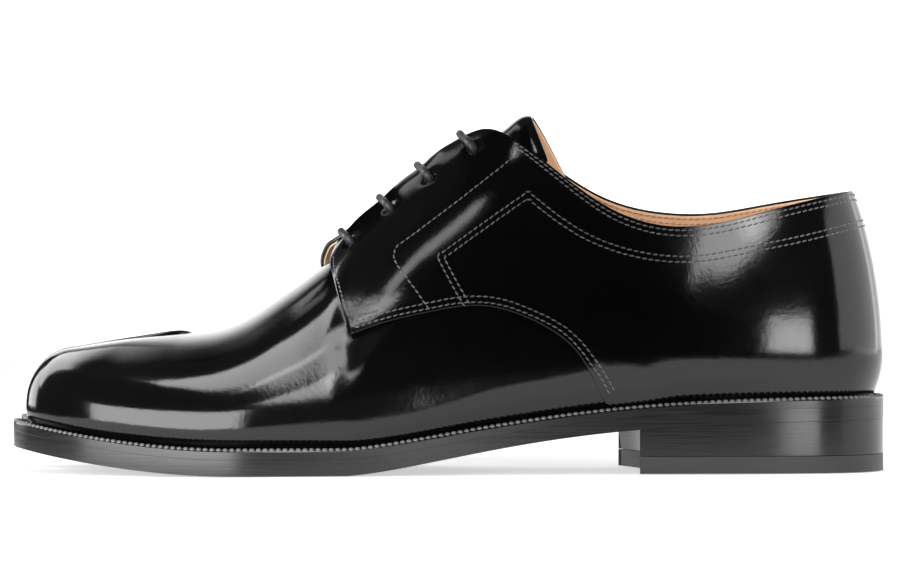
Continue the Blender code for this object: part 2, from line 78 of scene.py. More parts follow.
# One row for each rib of the last, once round the sole from the back of the heel along the outer side.
# edge: point on the sole's edge; margin: visible welt; bulge and belly: how far out and up the widest point
# is; top_x: where the rib meets the ridge; fullness: 2 is an ellipse, more is squarer.
RIB_COLUMNS = ("edge_x", "edge_y", "margin", "bulge", "belly", "top_x", "fullness")
RIBS = {
    "heel back": (150.0, 0.0, 3.9, 3.8, 13.5, 104.0, 1.9),
    "heel corner lateral": (139.5, -23.2, 4.2, 3.3, 14.5, 104.0, 1.9),
    "heel side lateral": (115.0, -31.7, 4.3, 3.8, 15.5, 101.0, 1.96),
    "breast lateral": (72.0, -34.2, 4.6, 4.6, 17.5, 72.0, 2.02),
    "waist lateral": (35.0, -37.6, 4.2, 4.1, 14.5, 35.0, 2.08),
    "joint lateral": (-8.0, -45.0, 4.2, 3.5, 12.0, -8.0, 1.88),
    "ball lateral": (-52.0, -53.3, 5.4, 3.5, 10.0, -52.0, 1.9),
    "toe root lateral": (-88.0, -53.6, 5.8, 3.6, 8.6, -82.0, 2.01),
    "toe side lateral": (-118.0, -41.2, 5.8, 3.4, 7.0, -98.5, 2.09),
    "toe corner lateral": (-139.5, -25.6, 6.4, 3.1, 6.2, LOBE_TOP_LATERAL, 2.16),
    "tip lateral": (-148.4, -8.0, 6.8, 2.6, 6.2, LOBE_TOP_LATERAL, 2.05),
    "cleft mouth lateral": (-140.5, 6.5, 3.6, 2.6, 8.0, LOBE_TOP_LATERAL, 2.3),
    "cleft mid lateral": (-124.0, 10.2, 2.6, 2.2, 9.0, -108.0, 3.0),
    "cleft root lateral": (-107.0, 11.5, 2.6, 2.2, 10.0, -97.0, 3.0),
    "crotch": (-101.0, 13.0, 2.6, 2.0, 11.0, FORK, 2.6),
    "cleft root medial": (-107.0, 14.5, 2.6, 2.2, 10.0, -97.0, 3.0),
    "cleft mid medial": (-124.0, 15.8, 2.6, 2.2, 9.0, -110.0, 3.0),
    "cleft mouth medial": (-141.0, 19.0, 3.6, 2.6, 8.0, LOBE_TOP_MEDIAL, 2.3),
    "tip medial": (-150.0, 31.0, 5.0, 2.8, 6.2, LOBE_TOP_MEDIAL, 2.05),
    "toe corner medial": (-142.5, 43.5, 5.4, 3.0, 6.2, LOBE_TOP_MEDIAL, 2.16),
    "toe side medial": (-122.0, 51.0, 5.2, 3.2, 7.0, -112.0, 2.09),
    "toe root medial": (-95.0, 54.6, 5.0, 3.2, 8.6, -88.0, 2.01),
    "ball medial": (-64.0, 53.2, 4.6, 3.3, 10.5, -62.0, 1.95),
    "joint medial": (-22.0, 41.0, 3.6, 3.6, 14.0, -22.0, 1.92),
    "waist medial": (25.0, 27.5, 3.0, 4.0, 20.0, 25.0, 2.0),
    "breast medial": (70.0, 29.5, 3.0, 2.9, 16.5, 72.0, 1.97),
    "heel side medial": (114.0, 31.4, 3.0, 2.5, 14.5, 97.0, 1.9),
    "heel corner medial": (139.5, 22.5, 3.2, 2.2, 13.5, 104.0, 1.88),
}

# The ridge of the last along the foot. Behind the throat it is open, and these are the tops of the cone.
RIDGE_COLUMNS = ("x", "y", "z")
RIDGE = (
    (-131.0, 13.5, 42.0),
    (-113.0, 13.0, 44.6),
    (-90.0, 12.0, 46.7),
    (-77.0, 10.5, 48.6),
    (-66.0, 9.0, 53.8),
    (-56.0, 7.5, 60.6),
    (-47.0, 6.5, 67.0),
    (-43.0, 6.0, 71.4),
    (-38.5, 6.0, 78.2),
    (-34.0, 5.5, 83.2),
    (-26.0, 5.0, 90.6),
    (6.0, 4.0, 116.4),
    (25.0, 3.0, 124.0),
    (40.0, 2.0, 121.0),
    (72.0, 1.0, 117.0),
    (104.0, 0.0, 134.0),
)

# The facings stand this far off the vamp behind the front of the throat.
FACING_RAISE = 6.7
RAISE_FROM = -47.0
RAISE_LENGTH = 13.0

# The inner facing starts further forward than the outer one.
MEDIAL_AHEAD = 4.5
AHEAD_FROM = -47.0
AHEAD_LENGTH = 16.0

# The vamp's hidden back edge, from the throat down to the waist.
VAMP_EDGE = (
    (-37.0, 74.2),
    (-26.0, 70.5),
    (-16.0, 66.0),
    (-7.0, 62.5),
    (6.0, 64.0),
    (17.0, 63.5),
    (30.0, 59.0),
    (42.0, 51.0),
    (52.0, 41.0),
    (60.0, 32.0),
)
VAMP_BACK = -37.0
VAMP_WALL = 1.2
TUCK_IN = 2.0
TUCK_DOWN = 0.5
VAMP_ROWS = 18
FLANK_RIBS = 17
VAMP_RIBS = 11
STEPS_PER_CLEFT_ROW = 4
TIP_RIBS = 8
LOW_STEPS = 15
HIGH_STEPS = 60
ROW_SAMPLES = 800
WRAP = 5
SLOPE_STEP = 0.05
JOINED = 0.01
TINY = 0.005
FOOT_MIDDLE = 40.0
SMOOTHING = 2


def smooth_slopes(knots, values):
    """Slopes at the knots of the curve with no jump in curvature."""
    steps = np.diff(knots)
    rises = np.diff(values) / steps
    count = len(knots)
    matrix = np.zeros((count, count))
    right = np.zeros(count)
    for i in range(1, count - 1):
        matrix[i, i - 1] = 1 / steps[i - 1]
        matrix[i, i] = 2 / steps[i - 1] + 2 / steps[i]
        matrix[i, i + 1] = 1 / steps[i]
        right[i] = 3 * (rises[i - 1] / steps[i - 1] + rises[i] / steps[i])
    matrix[0, :2] = 2, 1
    matrix[-1, -2:] = 1, 2
    right[0] = 3 * rises[0]
    right[-1] = 3 * rises[-1]
    return np.linalg.solve(matrix, right)


def steady_slopes(knots, values):
    """Slopes at the knots of a curve that never swings past its rows."""
    steps = np.diff(knots)
    rises = np.diff(values) / steps
    slopes = np.zeros(len(knots))
    slopes[0] = rises[0]
    slopes[-1] = rises[-1]
    for i in range(1, len(knots) - 1):
        if rises[i - 1] * rises[i] > 0:
            before = 2 * steps[i] + steps[i - 1]
            after = steps[i] + 2 * steps[i - 1]
            slopes[i] = (before + after) / (before / rises[i - 1] + after / rises[i])
    return slopes


def curve_at(knots, values, slopes, at):
    i = np.clip(np.searchsorted(knots, at, side="right") - 1, 0, len(knots) - 2)
    span = knots[i + 1] - knots[i]
    u = (at - knots[i]) / span
    start = values[i] * (1 + 2 * u) + slopes[i] * span * u
    end = values[i + 1] * (3 - 2 * u) + slopes[i + 1] * span * (u - 1)
    return start * (1 - u) ** 2 + end * u**2


def table_curve(rows, column):
    """A smooth function of the first column of a table."""
    table = np.array(rows)
    knots = table[:, 0]
    values = table[:, column]
    slopes = smooth_slopes(knots, values)
    return lambda at: curve_at(knots, values, slopes, np.clip(at, knots[0], knots[-1]))


ridge_y = table_curve(RIDGE, RIDGE_COLUMNS.index("y"))
ridge_z = table_curve(RIDGE, RIDGE_COLUMNS.index("z"))
vamp_edge_z = table_curve(VAMP_EDGE, 1)

rib_rows = np.array(list(RIBS.values()))
rib_names = list(RIBS)
around = np.concatenate([rib_rows[-WRAP:], rib_rows, rib_rows[: WRAP + 1]])
chords = np.hypot(np.diff(around[:, 0]), np.diff(around[:, 1]))
loop_knots = np.concatenate([[0.0], np.cumsum(chords)])
loop_knots = loop_knots - loop_knots[WRAP]
LOOP = loop_knots[WRAP + len(rib_rows)]
CROTCH = loop_knots[WRAP + rib_names.index("crotch")]
loop_curves = {}
for index, column_name in enumerate(RIB_COLUMNS):
    make_slopes = smooth_slopes if column_name.startswith("edge") else steady_slopes
    column_values = around[:, index]
    loop_curves[column_name] = (loop_knots, column_values, make_slopes(loop_knots, column_values))


def rib_value(column, t):
    return curve_at(*loop_curves[column], np.asarray(t, float) % LOOP)


def row_at(name):
    return loop_knots[WRAP + rib_names.index(name)]


def between_rows(first, last, steps):
    """Loop positions from one row to another, with this many steps from row to row."""
    start = WRAP + rib_names.index(first)
    end = WRAP + (rib_names.index(last) or len(rib_rows))
    rows = np.arange(steps * (end - start) + 1) / steps
    return np.interp(start + rows, np.arange(len(loop_knots)), loop_knots)


def edge_point(t, inset):
    """A point of the sole's outline, moved in from its edge."""
    along_x = rib_value("edge_x", t + SLOPE_STEP) - rib_value("edge_x", t - SLOPE_STEP)
    along_y = rib_value("edge_y", t + SLOPE_STEP) - rib_value("edge_y", t - SLOPE_STEP)
    length = np.hypot(along_x, along_y)
    x = rib_value("edge_x", t) + inset * along_y / length
    y = rib_value("edge_y", t) - inset * along_x / length
    return x, y


def smooth_step(value):
    value = np.clip(value, 0.0, 1.0)
    return value * value * (3 - 2 * value)


def sole_bottom(x):
    spring = np.clip((TREAD_FRONT - x) / (TREAD_FRONT - TOE_TIP), 0.0, None) ** SPRING_POWER
    waist = np.clip((x - TREAD_BACK) / WAIST_LENGTH, 0.0, None) ** WAIST_POWER
    return TOE_SPRING * spring + HEEL_SEAT * (1 - np.exp(-waist))


def sole_top(x):
    thinner = smooth_step((x - EDGE_THINS_FROM) / (EDGE_THINS_TO - EDGE_THINS_FROM))
    return sole_bottom(x) + FOREFOOT_EDGE - (FOREFOOT_EDGE - WAIST_EDGE) * thinner


def ridge_point(x, medial, layer):
    """The top of the last: one ridge up to the fork, then one for each toe lobe."""
    pole = LOBE_TOP_MEDIAL if medial else LOBE_TOP_LATERAL
    spread = math.sin(math.pi / 2 * np.clip((FORK - x) / (FORK - pole), 0.0, 1.0))
    z = ridge_z(x)
    if layer == "vamp":
        z = z - FACING_RAISE * smooth_step((x - RAISE_FROM) / RAISE_LENGTH)
    elif layer == "quarter" and medial:
        z = ridge_z(x + MEDIAL_AHEAD * (1 - smooth_step((x - AHEAD_FROM) / AHEAD_LENGTH)))
    if medial:
        past_fork = np.clip((FORK - x) / LIP_LENGTH, 0.0, 1.0)
        z = z + LIP_RISE * smooth_step(5 * past_fork) * (1 - smooth_step(past_fork))
        return np.array([x, ridge_y(x) + LOBE_SPREAD_MEDIAL * spread, z])
    return np.array([x, ridge_y(x) - LOBE_SPREAD_LATERAL * spread, z - LOBE_DROP_LATERAL * spread])


def rib_curve(t, top_x=None, layer="quarter"):
    """A dense rib of the last, from the feather edge on the welt up to the ridge."""
    t = t % LOOP
    medial = t > CROTCH
    top = ridge_point(rib_value("top_x", t) if top_x is None else top_x, medial, layer)
    x, y = edge_point(t, rib_value("margin", t))
    foot = np.array([x, y, sole_top(x) + GAP - FEATHER_SINK])
    inward = top[:2] - foot[:2]
    reach = np.hypot(*inward)
    inward = inward / reach
    bulge = rib_value("bulge", t)
    belly = rib_value("belly", t) + FEATHER_SINK
    power = 2 / rib_value("fullness", t)
    low = np.linspace(FEATHER_ANGLE, math.pi / 2, LOW_STEPS)[:-1]
    low_share = (math.cos(FEATHER_ANGLE) - np.cos(low)) / math.cos(FEATHER_ANGLE)
    tuck = TUCK_HEEL + (TUCK_VAMP - TUCK_HEEL) * smooth_step((TUCK_FROM - x) / TUCK_LENGTH)
    low_out = -bulge * (1 - (1 - low_share) ** tuck)
    low_up = belly * low_share
    high = np.linspace(0, math.pi / 2, HIGH_STEPS)
    high_out = reach - (reach + bulge) * np.clip(np.cos(high), 0, 1) ** power
    high_up = belly + (top[2] - foot[2] - belly) * np.sin(high) ** power
    out = np.concatenate([low_out, high_out])
    up = np.concatenate([low_up, high_up])
    return np.column_stack([foot[0] + inward[0] * out, foot[1] + inward[1] * out, foot[2] + up])


def lengths_along(points):
    return np.concatenate([[0.0], np.cumsum(np.linalg.norm(np.diff(points, axis=0), axis=1))])


def points_at(points, at):
    """Points of a line at these distances along it."""
    lengths = lengths_along(points)
    return np.column_stack([np.interp(at, lengths, points[:, axis]) for axis in range(3)])


def rib_places(first, last, stations):
    """Loop positions between two rows whose ribs meet the ridge at these stations."""
    t = np.linspace(row_at(first), row_at(last), ROW_SAMPLES)
    tops = rib_value("top_x", t)
    order = np.argsort(tops)
    return np.interp(stations, tops[order], t[order])


def tucked_rib(points, rows):
    """Points spread evenly along a rib, with one more where the leather is tucked in under the last."""
    spread = points_at(points, np.linspace(0, lengths_along(points)[-1], rows + 1))
    inward = points[-1] - points[0]
    inward[2] = 0
    tuck = points[0] + TUCK_IN * inward / np.linalg.norm(inward) - (0, 0, TUCK_DOWN)
    return np.vstack([tuck, spread])


def flank_rib(t, top_x=None):
    """A rib of the vamp's flank, up to the back edge under the quarter."""
    points = rib_curve(t, top_x, "vamp")
    over = points[:, 2] - vamp_edge_z(points[:, 0])
    if over[-1] <= 0:
        return points
    first = int(np.argmax(over > 0))
    share = over[first - 1] / (over[first - 1] - over[first])
    return np.vstack([points[:first], points[first - 1] + share * (points[first] - points[first - 1])])


def vamp_ribs():
    """Every rib of the vamp, from the waist on the outer side round the toe to the waist on the inner side."""
    middle = np.linspace(VAMP_BACK, FORK, VAMP_RIBS)
    cleft_lateral = between_rows("cleft mouth lateral", "crotch", STEPS_PER_CLEFT_ROW)
    cleft_medial = between_rows("crotch", "cleft mouth medial", STEPS_PER_CLEFT_ROW)
    lateral_tops = rib_value("top_x", cleft_lateral)
    medial_tops = rib_value("top_x", cleft_medial)
    lateral_front = np.concatenate([middle, lateral_tops[::-1][1:]])
    medial_front = np.concatenate([middle, medial_tops[1:]])
    lateral_back = rib_places("breast lateral", "waist lateral", VAMP_EDGE[-1][0])
    medial_back = rib_places("waist medial", "breast medial", VAMP_EDGE[-1][0])
    lateral_throat = rib_places("joint lateral", "ball lateral", VAMP_BACK)
    medial_throat = rib_places("ball medial", "joint medial", VAMP_BACK)
    tip_lateral = np.linspace(row_at("toe corner lateral"), row_at("cleft mouth lateral"), TIP_RIBS + 2)[1:-1]
    tip_medial = np.linspace(row_at("cleft mouth medial"), row_at("toe corner medial"), TIP_RIBS + 2)[1:-1]
    front = list(zip(rib_places("joint lateral", "toe corner lateral", lateral_front), lateral_front))
    front += [(t, LOBE_TOP_LATERAL) for t in tip_lateral]
    front += zip(cleft_lateral, lateral_tops)
    front += zip(cleft_medial[1:], medial_tops[1:])
    front += [(t, LOBE_TOP_MEDIAL) for t in tip_medial]
    front += list(zip(rib_places("toe corner medial", "joint medial", medial_front), medial_front))[::-1]
    curves = [flank_rib(t) for t in np.linspace(lateral_back, lateral_throat, FLANK_RIBS)[:-1]]
    curves += [rib_curve(t, top, "vamp") for t, top in front]
    curves += [flank_rib(t) for t in np.linspace(medial_throat, medial_back, FLANK_RIBS)[1:]]
    return [tucked_rib(curve, VAMP_ROWS) for curve in curves]


def sheet_mesh(name, columns):
    """A sheet in metres from columns of points in millimetres, with its faces turned away from the foot."""
    form = bmesh.new()
    rows = len(columns[0])
    corners = [form.verts.new(np.asarray(point) * MM) for column in columns for point in column]
    for i in range(len(columns) - 1):
        for j in range(rows - 1):
            low = i * rows + j
            form.faces.new([corners[k] for k in (low, low + rows, low + rows + 1, low + 1)])
    bmesh.ops.remove_doubles(form, verts=form.verts, dist=JOINED * MM)
    bmesh.ops.dissolve_degenerate(form, edges=form.edges, dist=TINY * MM)
    form.normal_update()
    outward = 0.0
    for face in form.faces:
        middle = face.calc_center_median()
        outward += face.normal.dot(middle - Vector((middle.x, 0.0, FOOT_MIDDLE * MM))) * face.calc_area()
    if outward < 0:
        bmesh.ops.reverse_faces(form, faces=form.faces)
    mesh = bpy.data.meshes.new(name)
    form.to_mesh(mesh)
    form.free()
    return mesh


def new_piece(name, mesh, *finishes):
    piece = bpy.data.objects.new(name, mesh)
    for finish in finishes:
        mesh.materials.append(finish)
    bpy.context.scene.collection.objects.link(piece)
    return piece


def settle(piece):
    """Turns a piece's modifiers into its plain mesh, shaded smooth."""
    evaluated = piece.evaluated_get(bpy.context.evaluated_depsgraph_get())
    mesh = bpy.data.meshes.new_from_object(evaluated)
    piece.modifiers.clear()
    old = piece.data
    piece.data = mesh
    bpy.data.meshes.remove(old)
    mesh.name = piece.name
    mesh.shade_smooth()
    return piece


def thicken(piece, wall, levels):
    """Gives a sheet of leather its wall, inwards from its face, and rounds its cut edges."""
    solid = piece.modifiers.new("wall", "SOLIDIFY")
    solid.thickness = wall * MM
    solid.offset = -1
    solid.use_even_offset = True
    soft = piece.modifiers.new("rounding", "SUBSURF")
    soft.levels = levels
    soft.render_levels = levels
    return settle(piece)


def fit(piece, node):
    """The piece stands for this solid of the frame, whose own part is hidden."""
    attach(piece, "root")
    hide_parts(node)


class Finish:
    """A material that is wired up step by step around one Principled shader."""

    def __init__(self, name, color, roughness):
        self.material = bpy.data.materials.new(name)
        self.material.use_nodes = True
        self.tree = self.material.node_tree
        self.shader = self.tree.nodes["Principled BSDF"]
        self.shader.inputs["Base Color"].default_value = (*color, 1)
        self.shader.inputs["Roughness"].default_value = roughness
        self.place = self.tree.nodes.new("ShaderNodeTexCoord").outputs["Object"]

    def add(self, kind, **inputs):
        node = self.tree.nodes.new(kind)
        for name, value in inputs.items():
            socket = node.inputs[name.replace("_", " ")]
            if isinstance(value, bpy.types.NodeSocket):
                self.tree.links.new(value, socket)
            else:
                socket.default_value = value
        return node

    def noise(self, scale, detail=3.0, stretch=(1, 1, 1)):
        """Noise with features of about 1 / scale metres, drawn out along the axes where stretch is small."""
        mapping = self.add("ShaderNodeMapping", Vector=self.place, Scale=stretch)
        return self.add(
            "ShaderNodeTexNoise", Vector=mapping.outputs["Vector"], Scale=scale, Detail=detail
        ).outputs["Fac"]

    def between(self, factor, low, high):
        return self.add("ShaderNodeMapRange", Value=factor, To_Min=low, To_Max=high).outputs["Result"]

    def shades(self, factor, first, second):
        ramp = self.tree.nodes.new("ShaderNodeValToRGB")
        ramp.color_ramp.elements[0].color = (*first, 1)
        ramp.color_ramp.elements[1].color = (*second, 1)
        self.tree.links.new(factor, ramp.inputs["Fac"])
        return ramp.outputs["Color"]

    def bump(self, height, distance, under=None):
        node = self.add("ShaderNodeBump", Height=height, Distance=distance)
        if under is not None:
            self.tree.links.new(under, node.inputs["Normal"])
        return node.outputs["Normal"]

    def wire(self, name, output):
        self.tree.links.new(output, self.shader.inputs[name])

    def set(self, **values):
        for name, value in values.items():
            self.shader.inputs[name.replace("_", " ")].default_value = value


CALF_BLACK = (0.0012, 0.0012, 0.0014)
CALF_WARM = (0.0026, 0.0023, 0.0022)


def polished_calf():
    """Glazed black calf: nearly flat grain under a wax shine, a little wavy from the pull of lasting."""
    calf = Finish("polished_calf", CALF_BLACK, 0.1)
    calf.wire("Base Color", calf.shades(calf.noise(90.0), CALF_BLACK, CALF_WARM))
    calf.wire("Roughness", calf.between(calf.noise(240.0, 4.0), 0.07, 0.14))
    pores = calf.bump(calf.noise(2200.0, 2.0), 0.00001)
    grain = calf.bump(calf.noise(650.0, 3.0), 0.00002, pores)
    calf.wire("Normal", calf.bump(calf.noise(60.0, 1.0), 0.00008, grain))
    return calf.material


calf_finish = polished_calf()
vamp_cage = vamp_ribs()
vamp = new_piece("vamp", sheet_mesh("vamp", vamp_cage), calf_finish)
thicken(vamp, VAMP_WALL, SMOOTHING)
fit(vamp, "upper")

# Quarters: the two sides of the upper, cut from the same calf. Each lies over the vamp and is sewn to it along
# its lower edge, carries four punched eyelets in its facing, and meets the other in a seam down the heel.
THROAT_FRONT = -43.0
THROAT_HALF_GAP = 4.4
THROAT_WIDENS = 0.055
THROAT_START_LATERAL = -37.5
THROAT_START_MEDIAL = -42.0
COLLAR_FRONT = 2.0
COLLAR_COLUMNS = ("x", "lateral_z", "medial_z")
COLLAR = (
    (6.0, 115.2, 115.6),
    (14.0, 117.4, 117.8),
    (22.0, 113.8, 115.0),
    (35.0, 104.0, 106.5),
    (52.0, 91.2, 95.5),
    (74.0, 83.5, 89.2),
    (93.0, 84.7, 88.9),
    (111.0, 89.3, 91.8),
    (138.0, 95.8, 96.0),
)

# The quarter's cut edges as seen from the side: x and z of the front edge, up from its corner, and of the lower
# edge, from behind that corner back to the sole.
FRONT_LATERAL = ((-31.8, 46.7), (-35.6, 56.4), (-38.2, 64.1), (-40.0, 69.9), (-40.2, 72.8))
FRONT_MEDIAL = ((-35.0, 46.7), (-39.5, 56.4), (-42.7, 64.1), (-44.6, 69.5), (-44.7, 72.5))
LOW_TRIM = 4.0
QUARTER_LOW = (
    (-18.2, 51.4),
    (-7.2, 54.0),
    (6.2, 56.4),
    (17.3, 55.7),
    (28.3, 51.7),
    (37.8, 46.3),
    (46.2, 37.2),
    (54.0, 24.7),
)
QUARTER_WALL = 1.25
QUARTER_LIFT = 1.35
LIFT_WIDTH = 9.0
LIFT_FADE = 16.0
LIFT_TOP = 48.0
LIFT_TOP_FADE = 16.0
BACK_SEAM = -0.12
QUARTER_COLUMNS = 50
QUARTER_ROWS = 14
EDGE_ROWS = (0.0, 0.45, 1.3, 2.8)
PLACE_STEPS = 12
FRONT_BLEND = 0.55
SIDE_REACH = 0.4

# Eyelets: their stations along the ridge and distance from it, and how the leather between them puffs out and
# dips in round each hole.
EYELET_STATIONS = (-36.0, -23.0, -10.0, 4.5)
EYELET_REACH = 20.5
EYELET_DIAMETER = 3.3
EYELET_SIDES = 24
PUNCH_LENGTH = 9.0
PUFF = 0.8
PUFF_REACH = 9.0
DIMPLE = 0.7
DIMPLE_REACH = 2.7
INSTEP_LEAN = 0.58
NORMAL_STEP = 0.5
SHARP = math.radians(42)

collar_lateral = table_curve(COLLAR, COLLAR_COLUMNS.index("lateral_z"))
collar_medial = table_curve(COLLAR, COLLAR_COLUMNS.index("medial_z"))


def loop_position(s, medial):
    """Loop position from the distance along the sole's edge from the back of the heel."""
    return LOOP - s if medial else s


def place_on_side(x, z, medial):
    """Distance from the heel and height along the rib of the point that is seen from the side at x and z."""
    s_rows = np.linspace(0, LOOP * SIDE_REACH, ROW_SAMPLES)
    edge_x = rib_value("edge_x", loop_position(s_rows, medial))
    s = np.interp(-x, -edge_x, s_rows)
    for _ in range(PLACE_STEPS):
        curve = rib_curve(loop_position(s, medial))
        h = np.interp(z, curve[:, 2], lengths_along(curve))
        s = s + points_at(curve, [h])[0, 0] - x
    return s, h


def top_height(s, medial):
    """Height along the rib where it comes to the collar or to the edge of the throat."""
    points = rib_curve(loop_position(s, medial))
    collar = collar_medial if medial else collar_lateral
    over_collar = np.where(points[:, 0] > COLLAR_FRONT, points[:, 2] - collar(points[:, 0]), -1.0)
    from_ridge = np.hypot(points[:, 0] - points[-1, 0], points[:, 1] - points[-1, 1])
    half_gap = THROAT_HALF_GAP + THROAT_WIDENS * (points[-1, 0] - THROAT_FRONT)
    beyond = np.maximum(over_collar, half_gap - from_ridge)
    first = int(np.argmax(beyond >= 0))
    share = beyond[first - 1] / (beyond[first - 1] - beyond[first])
    heights = lengths_along(points)
    return heights[first - 1] + share * (heights[first] - heights[first - 1])


def edged_shares(length, count):
    """Shares from 0 to 1 with close steps at both ends, which keep a cut edge crisp."""
    ends = np.array(EDGE_ROWS) / length
    inner = np.linspace(ends[-1], 1 - ends[-1], count)
    return np.concatenate([ends[:-1], inner, (1 - ends[:-1])[::-1]])


def quarter_front(medial, inset):
    """Places of the front edge, from its lower corner up to the throat."""
    start = (THROAT_START_MEDIAL if medial else THROAT_START_LATERAL) + inset
    s_rows = np.linspace(0, LOOP * SIDE_REACH, ROW_SAMPLES)
    s_throat = np.interp(-start, -rib_value("top_x", loop_position(s_rows, medial)), s_rows)
    rows = FRONT_MEDIAL if medial else FRONT_LATERAL
    places = [place_on_side(x + inset, z, medial) for x, z in rows]
    return np.array(places + [(s_throat, top_height(s_throat, medial) - inset)])


def quarter_low(medial):
    """Places of the lower edge, from the sole forward to the corner."""
    corner = (FRONT_MEDIAL if medial else FRONT_LATERAL)[0]
    places = np.array([place_on_side(x, z, medial) for x, z in (corner, *QUARTER_LOW)])[::-1]
    places[0, 1] = 0.0
    return places


def quarter_grid(medial, inset):
    """Places on the last, as distance and height, for every corner of the quarter's cage."""
    low = quarter_low(medial)
    low_height = table_curve(low, 1)
    front = quarter_front(medial, inset)
    corner, throat = front[0], front[-1]
    along = np.concatenate([[0.0], np.cumsum(np.hypot(*np.diff(front, axis=0).T))])
    along = along / along[-1]
    slopes = [smooth_slopes(along, front[:, axis]) for axis in (0, 1)]
    grid = []
    for u in edged_shares(corner[0], QUARTER_COLUMNS):
        bottom = np.array([BACK_SEAM + u * (corner[0] - BACK_SEAM), 0.0])
        if bottom[0] > low[0, 0]:
            bottom[1] = low_height(bottom[0]) + LOW_TRIM * inset
        top = np.array([BACK_SEAM + u * (throat[0] - BACK_SEAM), 0.0])
        top[1] = top_height(top[0], medial) - inset
        weight = smooth_step((u - FRONT_BLEND) / (1 - FRONT_BLEND))
        column = []
        for v in edged_shares(top[1] - bottom[1], QUARTER_ROWS):
            curved = np.array([curve_at(along, front[:, axis], slopes[axis], v) for axis in (0, 1)])
            straight = corner + v * (throat - corner)
            column.append(bottom + v * (top - bottom) + weight * (curved - straight))
        grid.append(column)
    return np.array(grid)


def on_last(s, h, medial):
    return points_at(rib_curve(loop_position(s, medial)), [h])[0]


def facing_puff(s, edge_gap, medial):
    """How far the facing stands up between two eyelets, at this distance from the throat's edge."""
    station = rib_value("top_x", loop_position(s, medial))
    puff = 0.0
    for first, second in zip(EYELET_STATIONS, EYELET_STATIONS[1:]):
        if first < station < second:
            puff = PUFF * math.sin(math.pi * (station - first) / (second - first)) ** 2
    return puff * math.exp(-((edge_gap / PUFF_REACH) ** 2))


def quarter_sheet(medial, inset, drop, over_vamp):
    """Columns of points of a quarter, this far below the outer face, lifted where it lies over the vamp."""
    grid = quarter_grid(medial, inset)
    points = np.array([[on_last(s, h, medial) for s, h in column] for column in grid])
    normals = np.cross(np.gradient(points, axis=1), np.gradient(points, axis=0))
    normals = normals / np.linalg.norm(normals, axis=2, keepdims=True)
    if medial:
        normals = -normals
    seam = [on_last(s, h, medial) for s, h in np.vstack([quarter_front(medial, 0.0), quarter_low(medial)])]
    gap = np.linalg.norm(points[:, :, None, :] - np.array(seam)[None, None, :, :], axis=3).min(axis=2)
    lift = QUARTER_LIFT * (1 - smooth_step((gap - LIFT_WIDTH) / LIFT_FADE))
    lift = lift * (1 - smooth_step((points[:, :, 2] - LIFT_TOP) / LIFT_TOP_FADE))
    edge_gap = np.linalg.norm(points - points[:, -1:], axis=2)
    puff = [[facing_puff(s, gap, medial) for (s, _), gap in zip(*pair)] for pair in zip(grid, edge_gap)]
    return points + normals * (over_vamp * lift + np.array(puff) - drop)[:, :, None]


def instep_point(x, away, layer):
    """A point on the last this far from the ridge, in a plane square to it; below zero is the outer side."""
    def level_point(station):
        first, last = ("ball medial", "breast medial") if away > 0 else ("breast lateral", "ball lateral")
        curve = rib_curve(rib_places(first, last, station), station, layer)[::-1]
        return points_at(curve, [abs(away)])[0]

    drop = ridge_z(x) - level_point(x)[2]
    return level_point(x + INSTEP_LEAN * drop)


def off_instep(x, away, height, layer):
    """A point this far off the last at a place on the instep, and the direction away from the foot."""
    along = instep_point(x + NORMAL_STEP, away, layer) - instep_point(x - NORMAL_STEP, away, layer)
    across = instep_point(x, away + NORMAL_STEP, layer) - instep_point(x, away - NORMAL_STEP, layer)
    normal = np.cross(along, across)
    normal = normal / np.linalg.norm(normal)
    return instep_point(x, away, layer) + height * normal, normal


eyelets = {}
for side, away in (("lateral", -EYELET_REACH), ("medial", EYELET_REACH)):
    eyelets[side] = [off_instep(station, away, 0.0, "quarter") for station in EYELET_STATIONS]


def punch_eyelets(piece, side):
    """Cuts the round holes of one facing through a piece."""
    form = bmesh.new()
    for middle, axis in eyelets[side]:
        turned = Vector((0, 0, 1)).rotation_difference(Vector(axis)).to_matrix().to_4x4()
        bmesh.ops.create_cone(
            form,
            cap_ends=True,
            segments=EYELET_SIDES,
            radius1=EYELET_DIAMETER / 2 * MM,
            radius2=EYELET_DIAMETER / 2 * MM,
            depth=PUNCH_LENGTH * MM,
            matrix=Matrix.Translation(middle * MM) @ turned,
        )
    mesh = bpy.data.meshes.new("punch")
    form.to_mesh(mesh)
    form.free()
    punch = new_piece("punch", mesh)
    cut = piece.modifiers.new("eyelets", "BOOLEAN")
    cut.operation = "DIFFERENCE"
    cut.solver = "EXACT"
    cut.object = punch
    settle(piece)
    piece.data.set_sharp_from_angle(angle=SHARP)
    bpy.data.objects.remove(punch)
    bpy.data.meshes.remove(mesh)


def dimple_eyelets(piece, side):
    """Presses the leather in round each eyelet, where the lace pulls it down."""
    places = np.array([vertex.co for vertex in piece.data.vertices]) / MM
    for middle, axis in eyelets[side]:
        away = places - middle
        height = away @ axis
        radius = np.linalg.norm(away - height[:, None] * axis, axis=1)
        press = DIMPLE * np.exp(-((radius / DIMPLE_REACH) ** 2)) * (np.abs(height) < 2 * DIMPLE_REACH)
        places = places - press[:, None] * axis
    piece.data.vertices.foreach_set("co", (places * MM).ravel())


quarters = {}
for side in ("lateral", "medial"):
    columns = quarter_sheet(side == "medial", 0.0, 0.0, True)
    quarter = new_piece(f"quarter_{side}", sheet_mesh(f"quarter_{side}", columns), calf_finish)
    thicken(quarter, QUARTER_WALL, SMOOTHING)
    dimple_eyelets(quarter, side)
    punch_eyelets(quarter, side)
    fit(quarter, "upper")
    quarters[side] = quarter

